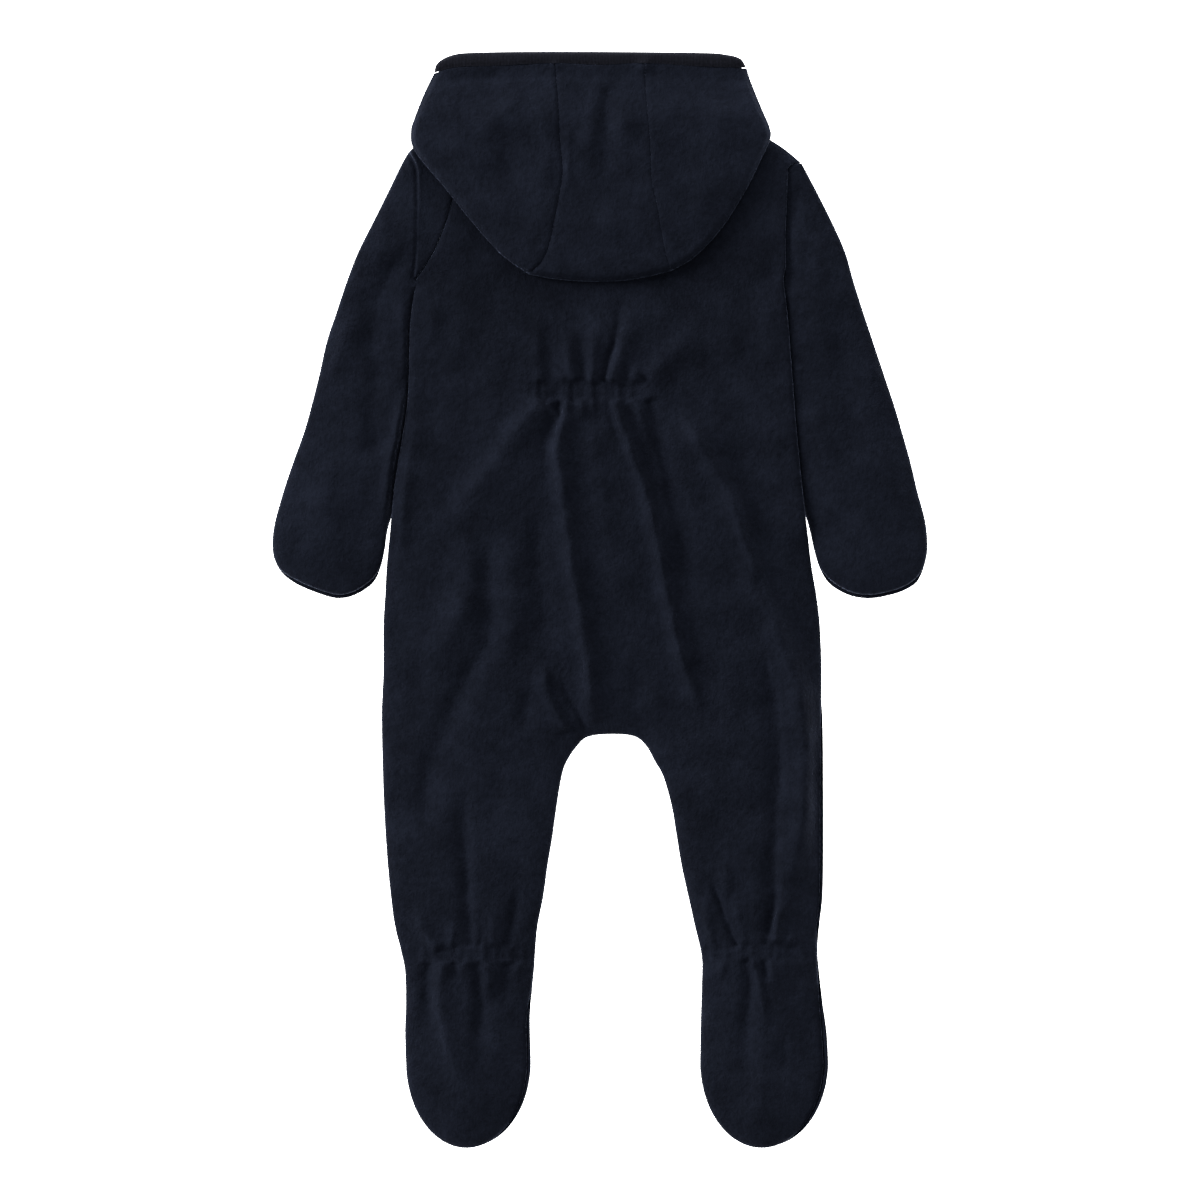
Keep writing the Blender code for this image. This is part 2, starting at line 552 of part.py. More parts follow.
def sleeve_heights(side):
    """Functions for the top and the underside of a sleeve."""
    folds = RIGHT_SLEEVE_FOLDS if side > 0 else LEFT_SLEEVE_FOLDS
    hole = ARMHOLE_RIGHT if side > 0 else ARMHOLE_LEFT
    seam_top, dip = (FOLD_FOOT, 0) if side > 0 else (ARMHOLE_TOP, 1)
    edge = sleeve_edge(side)
    body_side = side_line(side)

    def top(x, y):
        d = distance(edge, x, y)
        beyond = np.where(y < UNDERARM[1], along(body_side, x, y)[0] * side, SLEEVE_ROOM)
        rise = (1 - np.exp(-d / SLEEVE_PUFF_REACH)) * ease((beyond - 1) / UNDERARM_SLOPE)
        folded = relief(folds, x, y) * ease(d / FOLD_MARGIN) * ease(beyond / GATHER_MARGIN)
        z = PAIR + SEAM + SLEEVE_PUFF * rise + folded
        z = drawn_to(hole, seam_top, x, y, soft_floor(z, SLEEVE_FLOOR, SLEEVE_FLOOR_TURN))
        z = pressed(z - dip * seam_dip(hole, x, y), y)
        return ROLL + (z - ROLL) * rolled(d)

    def under(x, y):
        return ROLL * (1 - rolled(distance(edge, x, y)))

    return top, under


def hood_form(x, y):
    """Top of the hood's upper layer without its seams and folds."""
    d = distance(HOOD_FOLDED_EDGE, x, y)
    fall = (HOOD_BRIM - HOOD_EDGE) * ease((y - BRIM_FROM) / BRIM_SLOPE)
    return HOOD_EDGE + fall + puff(d, HOOD_PUFF, HOOD_PUFF_REACH)


def hood_top(x, y):
    """Top of the hood's upper layer."""
    d = distance(HOOD_FOLDED_EDGE, x, y)
    z = hood_form(x, y) + relief(HOOD_FOLDS, x, y) * ease(d / FOLD_MARGIN)
    for seam in (HOOD_SEAM_LEFT, HOOD_SEAM_RIGHT):
        z = z - seam_dip(curve(seam, CURVE_STEP), x, y)
    return z


def strip_top(x, y):
    """The strip is rounded across and a little proud of the panels."""
    across = np.clip(distance(curve(HOOD_BROW, OUTLINE_STEP), x, y) / STRIP_WIDTH, 0, 1)
    return hood_top(x, y) + STRIP_PROUD - STRIP_ROUND * np.abs(2 * across - 1) ** 2


# ---- meshes ---------------------------------------------------------------------------------

def finish(name, verts, faces, material):
    """Make the object from points in millimetres."""
    mesh = bpy.data.meshes.new(name)
    mesh.from_pydata([Vector(v) * MM for v in verts], [], faces)
    bm = bmesh.new()
    bm.from_mesh(mesh)
    bmesh.ops.triangulate(bm, faces=bm.faces)
    bmesh.ops.recalc_face_normals(bm, faces=bm.faces)
    bm.to_mesh(mesh)
    bm.free()
    mesh.shade_smooth()
    mesh.set_sharp_from_angle(angle=SHARP)
    mesh.materials.append(material)
    obj = bpy.data.objects.new(name, mesh)
    bpy.context.scene.collection.objects.link(obj)
    return obj


def apart(spots, gaps):
    """Keep each spot that is further than its gap from those kept before it."""
    kept = np.empty((0, 2))
    for spot, gap in zip(spots, gaps):
        if not len(kept) or np.hypot(*(kept - spot).T).min() > gap:
            kept = np.vstack([kept, spot])
    return kept


def field(loop, step, extra=()):
    """Points inside an outline: the extra groups first, then an even field between them."""
    spots, gaps = [], []
    for group, gap in extra:
        spots += [tuple(p) for p in group]
        gaps += [gap] * len(group)
    low, high = loop.min(axis=0), loop.max(axis=0)
    for k, y in enumerate(np.arange(low[1], high[1], step * 0.866)):
        for x in np.arange(low[0] + (k % 2) * step / 2, high[0], step):
            spots.append((x, y))
            gaps.append(step * 0.62)
    spots, gaps = np.array(spots), np.array(gaps)
    ring = np.vstack([loop, loop[:1]])
    good = inside(loop, spots[:, 0], spots[:, 1])
    good &= distance(ring, spots[:, 0], spots[:, 1]) > np.minimum(0.45 * gaps, EDGE_ROOM)
    return apart(spots[good], gaps[good])


def cover(loop, spots):
    """Points and triangles that fill an outline; the outline's points come first."""
    points = [Vector(p) for p in loop] + [Vector(p) for p in spots]
    _, _, triangles, sources, _, _ = delaunay_2d_cdt(
        points, [], [list(range(len(loop)))], 1, MERGE)
    number = [source[0] for source in sources]
    plan = np.vstack([loop, spots])
    return plan, [tuple(number[i] for i in triangle) for triangle in triangles]


def rim(triangles):
    """Directed edges that only one triangle has."""
    uses = {}
    for t in triangles:
        for a, b in zip(t, t[1:] + t[:1]):
            uses.setdefault(frozenset((a, b)), []).append((a, b))
    return [pair[0] for pair in uses.values() if len(pair) == 1]


def plate(name, loop, spots, top, bottom, material):
    """A closed wall over an outline, between two height functions."""
    plan, upper = cover(loop, spots)
    x, y = plan.T
    count = len(plan)
    verts = np.vstack([np.c_[plan, top(x, y)], np.c_[plan, bottom(x, y)]])
    faces = list(upper)
    faces += [tuple(i + count for i in reversed(t)) for t in upper]
    faces += [(b, a, a + count, b + count) for a, b in rim(upper)]
    return finish(name, verts.tolist(), faces, material)


def dense_between(hole, edge):
    """The hole's line again, with as many points, a wall's thickness in from the edge."""
    fine = spaced(hole, 40 * len(hole))
    clear = fine[distance(edge, *fine.T) >= WALL]
    return spaced(clear, len(hole) - 1)


def pocket(name, edge, hole, rows, top, under, material):
    """A flat tube: one wall round a closed edge, open along the hole between its ends."""
    lip = dense_between(hole, edge)
    outer_loop = np.vstack([edge, hole[-2:0:-1]])
    ring = np.vstack([outer_loop, outer_loop[:1]])
    inward = 1 if inside(outer_loop, *beside(edge, 1.0)[len(edge) // 2][:, None])[0] else -1
    inner_edge = beside(edge, inward * WALL)
    room = 0.9 * WALL
    good = inside(outer_loop, *inner_edge.T) & (distance(edge, *inner_edge.T) > room)
    good &= distance(hole, *inner_edge.T) > room
    inner_edge = np.vstack([lip[:1], inner_edge[good], lip[-1:]])
    inner_loop = np.vstack([inner_edge, lip[-2:0:-1]])
    edge_rows = [(beside(edge, inward * d), 0.4 * ROLL) for d in (0.3 * ROLL, ROLL)]
    outer_spots = field(outer_loop, FIELD_STEP, edge_rows + rows)
    inner_spots = field(inner_loop, 1.6 * FIELD_STEP, rows[:1])

    verts, faces, numbers = [], [], {}

    def add_layer(key, loop, closed, spots, height, shared_height):
        plan, triangles = cover(loop, spots)
        z = height(*plan.T)
        for i, (x, y) in enumerate(plan):
            shared = i < closed
            name_of = (key[0], "edge", i) if shared else (key, i)
            if name_of not in numbers:
                numbers[name_of] = len(verts)
                verts.append((x, y, shared_height if shared else z[i]))
        for t in triangles:
            faces.append(tuple(numbers[(key[0], "edge", i) if i < closed else (key, i)]
                               for i in t))

    def inner_top(x, y):
        return np.maximum(top(x, y) - WALL, LAYER + 0.2)

    def inner_under(x, y):
        return np.full_like(x, WALL)

    add_layer(("outer", "top"), outer_loop, len(edge), outer_spots, top, ROLL)
    add_layer(("outer", "under"), outer_loop, len(edge), outer_spots, under, ROLL)
    add_layer(("inner", "top"), inner_loop, len(inner_edge), inner_spots, inner_top, LAYER)
    add_layer(("inner", "under"), inner_loop, len(inner_edge), inner_spots, inner_under, LAYER)

    def mouth(kind, closed, count):
        """The ring of points round the open end: along the top, then back along the underside."""
        loose = range(closed, count)
        tops = [numbers[((kind, "top"), i)] for i in loose]
        unders = [numbers[((kind, "under"), i)] for i in loose]
        ends = numbers[(kind, "edge", closed - 1)], numbers[(kind, "edge", 0)]
        return [ends[0]] + tops + [ends[1]] + unders[::-1]

    outer_mouth = mouth("outer", len(edge), len(outer_loop))
    inner_mouth = mouth("inner", len(inner_edge), len(inner_loop))
    for k, (a, b) in enumerate(zip(outer_mouth, inner_mouth)):
        n = (k + 1) % len(outer_mouth)
        faces.append((a, b, inner_mouth[n], outer_mouth[n]))
    return finish(name, verts, faces, material)


def cloth(name, colour, roughness):
    material = bpy.data.materials.new(name)
    material.use_nodes = True
    shader = material.node_tree.nodes["Principled BSDF"]
    shader.inputs["Base Color"].default_value = colour
    shader.inputs["Roughness"].default_value = roughness
    shader.inputs["Metallic"].default_value = 0.0
    return material


# ---- the pieces -----------------------------------------------------------------------------

def gather_spots(gather):
    """Columns of points that follow the ridges across an elastic."""
    (ax, ay), (bx, by) = gather.start, gather.end
    length = math.hypot(bx - ax, by - ay)
    ux, uy = (bx - ax) / length, (by - ay) / length
    rows = ([-gather.below * share for share in GATHER_ROWS]
            + [-gather.half_band, 0, gather.half_band]
            + [gather.above * share for share in GATHER_ROWS])
    columns = gather.count * GATHER_COLUMNS
    return [(ax + ux * s - uy * n, ay + uy * s + ux * n)
            for n in rows for s in np.linspace(1, length - 1, columns)]


def fold_spots(folds):
    """Points along the crest of each fold and on its flanks."""
    rows = []
    for fold in folds:
        crest = curve(fold.path, FOLD_STEP)
        widen = 1 + (fold.spread - 1) * np.linspace(0, 1, len(crest))
        tangent = np.gradient(crest, axis=0)
        tangent /= np.hypot(*tangent.T)[:, None]
        left = np.c_[-tangent[:, 1], tangent[:, 0]]
        rows += [crest,
                 crest + left * (fold.left * widen)[:, None],
                 crest - left * (fold.right * widen)[:, None]]
    return np.vstack(rows)


def make_back(material):
    loop = back_loop()
    extra = [(gather_spots(gather), 1.6) for gather in GATHERS]
    extra += [(beside(BODY_EDGE, -EDGE_ROW), 4.0), (fold_spots(BACK_FOLDS), 4.2)]
    spots = field(loop, FIELD_STEP, extra)
    plate("back", loop, spots, body_top, lambda x, y: body_top(x, y) - WALL, material)


def make_front(name, side, material):
    loop = front_loop(side)
    rows = np.vstack([side_line(side)[::2] - (side * d, 0) for d in LIFT_ROWS])
    spots = field(loop, 4 * FIELD_STEP, [(rows, 3.0)])

    def under(x, y):
        return FRONT_LIFT * side_lift(x, y)

    plate(name, loop, spots, lambda x, y: WALL + under(x, y), under, material)


def make_sleeve(name, side, material):
    top, under = sleeve_heights(side)
    hole = ARMHOLE_RIGHT if side > 0 else ARMHOLE_LEFT
    rows = [(side_line(side) + (side * d, 0), 3.0) for d in SIDE_ROWS]
    pocket(name, sleeve_edge(side), hole, rows, top, under, material)


def hood_panel(name, loop, material):
    spots = field(loop, FIELD_STEP, [(fold_spots(HOOD_FOLDS), 5.0)])
    plate(name, loop, spots, hood_top, lambda x, y: hood_top(x, y) - WALL, material)


def make_hood_panels(material):
    """The three panels that show: left, centre and right."""
    brow, crown = curve(HOOD_BROW, OUTLINE_STEP), curve(HOOD_CROWN, OUTLINE_STEP)
    seam_left = curve(HOOD_SEAM_LEFT, OUTLINE_STEP)
    seam_right = curve(HOOD_SEAM_RIGHT, OUTLINE_STEP)
    left_edge = curve(HOOD_LEFT_EDGE, OUTLINE_STEP)
    right_edge = curve(HOOD_RIGHT_EDGE, OUTLINE_STEP)
    half = SEAM / 2
    first, second = HOOD_SEAM_LEFT[0][0], HOOD_SEAM_RIGHT[0][0]
    room = OUTLINE_STEP / 2
    brow_left = brow[brow[:, 0] < first - room][1:]
    brow_middle = brow[(brow[:, 0] > first + room) & (brow[:, 0] < second - room)]
    brow_right = brow[brow[:, 0] > second + room][:-1]
    hood_panel("hood_left", np.vstack([left_edge[-2::-1], brow_left,
                                       beside(seam_left, -half)]), material)
    hood_panel("hood_centre", np.vstack([beside(seam_left, half), crown[1:-1],
                                         beside(seam_right, -half)[::-1],
                                         brow_middle[::-1]]), material)
    hood_panel("hood_right", np.vstack([right_edge[:-1], beside(seam_right, half)[::-1],
                                        brow_right]), material)


def make_strip(material):
    """The knitted strip that binds the face opening."""
    low = curve(HOOD_BROW, OUTLINE_STEP) + (0, SEAM)
    high = curve(STRIP_TOP, OUTLINE_STEP)
    middle = curve(HOOD_BROW, OUTLINE_STEP)[2:-2] + (0, STRIP_WIDTH / 2)
    plate("hood_binding", np.vstack([low[1:-1], high[::-1]]), middle, strip_top,
          lambda x, y: strip_top(x, y) - STRIP_THICKNESS, material)


def shoulder_line():
    """Top edge of the sleeves and the body, from left to right, below the hood."""
    neck = mirrored((NECK_SIDE,)) + BACK_NECK + (NECK_SIDE,)
    return curve(LEFT_OUTER[5::-1] + neck + RIGHT_SHOULDER + RIGHT_OUTER[1:3], OUTLINE_STEP)


def make_hood_under(material):
    """The hood's hidden layers, as one solid that also fills the space past the neck."""
    edge = np.vstack([HOOD_FOLDED_EDGE, curve(STRIP_TOP, OUTLINE_STEP)[-2:0:-1]])
    ring = np.vstack([edge, edge[:1]])
    loop = beside(ring, HOOD_INSET)[:-1]
    line = shoulder_line()

    def top(x, y):
        low = hood_form(x, y) - LAYER - HIDDEN_ROOM
        thin = ease((y - STRIP_FROM) / STRIP_SLOPE)
        return low + (UNDER_STRIP - low) * thin * (low > UNDER_STRIP)

    def bottom(x, y):
        return np.where(along(line, x, y)[0] > NECK_STEP, 0.0, HOOD_FLOOR)

    step_rows = [(beside(line, 0.7 * NECK_STEP), NECK_STEP),
                 (beside(line, 1.4 * NECK_STEP), 0.4 * NECK_STEP)]
    spots = field(loop, 1.4 * FIELD_STEP, step_rows)
    plate("hood_under", loop, spots, top, bottom, material)


def box(name, low, high, material):
    corners = [(x, y, z) for z in (low[2], high[2]) for x, y in
               ((low[0], low[1]), (high[0], low[1]), (high[0], high[1]), (low[0], high[1]))]
    faces = [(3, 2, 1, 0), (4, 5, 6, 7)]
    faces += [(k, (k + 1) % 4, (k + 1) % 4 + 4, k + 4) for k in range(4)]
    finish(name, corners, faces, material)


def make_zip(material):
    """The closed zip between the front panels, and its slider at the top."""
    half = ZIP_HALF_GAP - SEAM
    chain_top = ZIP_TOP - SLIDER_LENGTH - SEAM
    box("zip", (ZIP_X - half, ZIP_END + SEAM, SEAM),
        (ZIP_X + half, chain_top, SEAM + ZIP_HEIGHT), material)
    box("zip_slider", (ZIP_X - SLIDER_HALF_WIDTH, chain_top + SEAM, SEAM / 2),
        (ZIP_X + SLIDER_HALF_WIDTH, ZIP_TOP, SEAM / 2 + SLIDER_HEIGHT), material)


def main():
    for obj in list(bpy.data.objects):
        bpy.data.objects.remove(obj, do_unlink=True)
    navy = cloth("fleece_navy", NAVY, 0.95)
    make_back(navy)
    make_front("front_left", -1, navy)
    make_front("front_right", 1, navy)
    make_sleeve("sleeve_left", -1, navy)
    make_sleeve("sleeve_right", 1, navy)
    make_hood_panels(navy)
    make_hood_under(navy)
    make_strip(cloth("knit_black", STRIP_BLACK, 0.9))
    make_zip(cloth("zip_navy", ZIP_NAVY, 0.5))


main()
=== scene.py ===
"""Looks of the fleece baby snowsuit, laid out flat with its back up.

Every piece of cloth is a thin closed wall on the form of its solid. Tables are in
millimetres: x is to the wearer's right, y runs from the feet to the hood, z is up.
"""
import math
from collections import namedtuple

import bpy
import numpy as np
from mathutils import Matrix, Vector, kdtree
from mathutils.geometry import delaunay_2d_cdt


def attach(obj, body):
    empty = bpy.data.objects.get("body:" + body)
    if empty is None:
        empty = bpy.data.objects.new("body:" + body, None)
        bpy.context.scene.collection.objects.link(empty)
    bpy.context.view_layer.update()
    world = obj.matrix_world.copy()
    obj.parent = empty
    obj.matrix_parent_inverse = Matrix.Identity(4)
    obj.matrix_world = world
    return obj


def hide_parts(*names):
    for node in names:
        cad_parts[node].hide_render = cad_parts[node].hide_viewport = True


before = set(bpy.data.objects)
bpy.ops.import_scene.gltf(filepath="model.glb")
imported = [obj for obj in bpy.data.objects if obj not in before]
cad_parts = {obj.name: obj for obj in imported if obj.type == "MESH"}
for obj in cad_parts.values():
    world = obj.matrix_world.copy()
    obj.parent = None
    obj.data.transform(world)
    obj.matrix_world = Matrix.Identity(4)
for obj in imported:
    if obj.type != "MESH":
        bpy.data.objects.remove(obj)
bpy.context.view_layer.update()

MM = 0.001

# The cloth and how the pieces lie on each other.
WALL = 2.5               # thickness of the fleece with its pile
SLIT = 0.04              # half the space at a seam sewn from inside
SEAM = 0.3               # space between two pieces at a seam
LAYER = WALL + SEAM
PAIR = LAYER + WALL      # top of two layers that lie on each other
LIFT = PAIR + 1.4        # the body's sides lie this high, on the sleeves' inner margins
FRONT_LIFT = 0.85        # the share of that by which the fronts are raised
SIDE_TOP = PAIR + 0.1 + LIFT
HOOD_FLOOR = 10.2        # underside of the folded hood where it lies on the back
UNDER_HOOD = HOOD_FLOOR - 0.5
HOOD_EDGE = 16.4         # top of the hood's upper layer along its folded edge
HOOD_BRIM = 10.4         # the same at the face opening, past the neck

# How closely the surfaces are sampled: steps of the field and the outline, and the distances
# from an edge or a crease at which rows of points follow it.
FINE = 1.5
OUTLINE = 1.8
COARSE = 3.6
PLAIN = 5.0
EDGE_ROWS = (0.25, 0.65, 1.2, 2.1)
HOOD_ROWS = (0.35, 0.9, 1.6, 2.15, 2.6, 3.4)
CREASE_ROWS = (-2.1, -1.5, -1.0, -0.6, -0.2, 0.2, 0.6, 1.0, 1.6)
CURVE_STEP = 4.0
MERGE = 1e-5

# Body and legs: y, left edge, right edge.
SIDES = (
    (193, -110, 110), (165, -114, 113), (126, -115, 116), (101, -118, 118),
    (71, -123, 121), (41, -126, 124.5), (20, -128, 127), (2, -129, 130),
    (-16, -130, 132), (-43, -130, 133), (-70, -131, 133.5), (-115, -130, 134),
    (-151, -128, 134), (-178, -125.5, 133.5), (-196, -123, 131.5), (-210, -119.5, 130.5),
    (-223, -117, 131.5), (-241, -116.5, 133.5), (-259, -117, 136), (-277, -116.5, 137),
)
# Inside of the legs: y, left leg, right leg.
INSEAMS = (
    (-88, -14, 28), (-97, -20, 33), (-106, -23, 38), (-124, -26, 43), (-142, -28.5, 46),
    (-160, -31.5, 49), (-178, -34, 53), (-196, -37.5, 57), (-214, -39, 61),
    (-232, -40.5, 61), (-250, -42, 60.5), (-277, -41.5, 60),
)
CROTCH = ((-7, -82), (8, -80.5), (21, -82))
TOE_Y = -277
TOE_LENGTH = 51.8
TOE_POINTS = 21
# Where the front shows past the back: y, right leg's outside, left foot's inside.
PEEKS = (
    (-60, 0, 0), (-80, 1.8, 0), (-190, 1.8, 0), (-210, 0.4, 0), (-232, 1.2, 0.4),
    (-255, 3.0, 2.4), (-300, 3.0, 2.2), (-329, 0.3, 0.3),
)
PEEK_TOP_Y = -40
FRONT_INSET = 1.9        # the fronts end this far inside the back where they don't show
FRONT_ROWS = (0.25, 0.65, 1.2, 2.0, 2.8, 3.6, 4.8)
PEEK_RISE = 4.4          # the front's rim stands this much higher where it shows
LOWER_INSET = 0.9        # the sleeve's lower layer ends this far inside its upper one

# Neck and underarm, on the wearer's right.
NECK_SIDE = (58, 296)
NECK_LINE = ((-58, 296), (-30, 291), (0, 289), (30, 291), NECK_SIDE)
FRONT_NECK = ((46, 279), (27, 265), (10, 260))
UNDERARM = (110.5, 193)

# Sleeves. On the right the back is folded over the sleeve and hides the armhole seam.
LEFT_ARMHOLE = (
    (-91.5, 283), (-87, 269), (-86.5, 254), (-89, 239), (-93, 226), (-99, 211), (-106, 199),
    (-110.5, 193),
)
RIGHT_ARMHOLE = (
    (121, 262), (116, 261.5), (112.4, 258.6), (111.2, 252), (110.7, 238), (110, 222),
    (110, 207), UNDERARM,
)
RIGHT_SHOULDER = ((91.5, 283), (102.5, 276), (111.5, 270), (121, 262))
LEFT_OUTER = (
    (-91.5, 283), (-103, 277), (-112.8, 270.6), (-118, 263.4), (-127, 245), (-136, 227),
    (-145, 209), (-152, 191), (-158, 173), (-164, 155), (-168, 137), (-172.5, 119),
    (-177.5, 101), (-184, 83), (-190, 65), (-195, 47), (-196.5, 35), (-195.5, 25),
    (-190.5, 16), (-181, 9), (-166, 3),
)
RIGHT_OUTER = (
    (121, 262), (130.5, 244), (139, 227), (147, 209), (152.5, 190), (158.5, 171), (164.5, 153),
    (170.5, 135), (176.5, 117), (181.5, 100), (186.5, 82), (190.5, 65), (195, 48), (196.5, 34),
    (195.5, 24), (191, 12), (183, 6), (172, 2.5),
)
# The edge of the cloth that is folded over beside the left armhole.
LEFT_CREASE = (
    (-113.4, 268), (-110.4, 262.5), (-108.8, 256), (-108.3, 242), (-108.3, 229),
    (-108.8, 211), (-109.8, 201), (-110.9, 194),
)
# The inner edges of the sleeves: under the body's side, and on to the mittens.
UNDER_SIDE = ((109.4, 190), (108, 184.5), (107.2, 178), (106.8, 168), (106.5, 152),
              (106, 130), (108, 105), (112.5, 84))
LEFT_INNER = ((-119, 65), (-125, 50), (-127.6, 41), (-129, 31), (-131.5, 20), (-136, 10.5),
              (-146, 3.5), (-156, 1))
RIGHT_INNER = ((118, 65), (123.5, 50), (126, 41), (128.2, 31), (131.5, 20), (137.5, 10),
               (149, 3), (161, 1))
MITT_Y = 22              # the mittens begin here
MITT_LIP = 2.2           # the lower layer shows this far past the upper one at a mitten's end
OVERLAP = 1.6            # the back's fold reaches this far over the right sleeve
HIDDEN_SHIFT = 1.2       # the lower layers' seams lie this far inside the upper ones'

# Hood.
HOOD_LEFT_EDGE = (
    (-99.5, 316), (-105, 305), (-111, 290), (-113.5, 281), (-111, 269), (-93, 247),
    (-77, 227), (-60, 208), (-43, 195.5),
)
HOOD_RIGHT_EDGE = (
    (88, 319), (90.5, 311), (97, 295), (102, 283), (102, 276), (96, 263), (87, 245),
    (73, 223), (57, 206), (43, 197.5),
)
HOOD_CROWN = ((-43, 195.5), (-27, 192.5), (-3, 191), (21, 192.5), (43, 197.5))
HOOD_SEAM_LEFT = (
    (-27, 322), (-25, 298), (-24, 275), (-22.5, 259), (-24, 245), (-27, 230), (-30, 215),
    (-35, 203), (-43, 195.5),
)
HOOD_SEAM_RIGHT = (
    (27, 322), (27.5, 305), (30, 275), (31, 253), (34, 238), (36.5, 223), (39.5, 207),
    (43, 197.5),
)
HOOD_BROW = (
    (-99.5, 316), (-86, 319.5), (-60, 320.5), (-27, 322), (0, 321), (27, 322), (60, 320),
    (88, 319),
)
STRIP_TOP = (
    (-99.5, 316.4), (-98.4, 321), (-94.8, 324.4), (-88, 327.2), (-78, 328.4), (-48, 329),
    (0, 329), (60, 328.4), (75, 327.4), (84, 325), (88, 319.4),
)
STRIP_THICKNESS = 4.2
STRIP_WIDTH = 7.0
STRIP_PROUD = -0.5       # the strip's top above the hood's
STRIP_ROUND = 0.7        # how far its outer half falls towards the edge
STRIP_RIB = 1.9          # width of a rib
UNDER_STRIP = 4.0        # top of the hood's hidden layers under the strip
HIDDEN_ROOM = 1.8        # space between the hood's panels and its hidden layers
HOOD_INSET = 2.2         # the hidden layers end this far inside the folded edge
HOOD_SLITS = (0.03, 0.02)    # half the space at the hood's left and right seams
HOOD_ROLL = 3.0          # the folded edge is rounded over this width
HOOD_TURN = 1.7          # and turns under over this one
NECK_STEP = 1.6          # where the hidden layers step down past the shoulders

# Front opening.
ZIP_X = 0.5
ZIP_TOP = 259.0
ZIP_END = -46.0
ZIP_HALF_GAP = 4.6
TOOTH_PITCH = 1.5
TOOTH_SHIFT = 0.9
SLIDER_LENGTH = 10.0

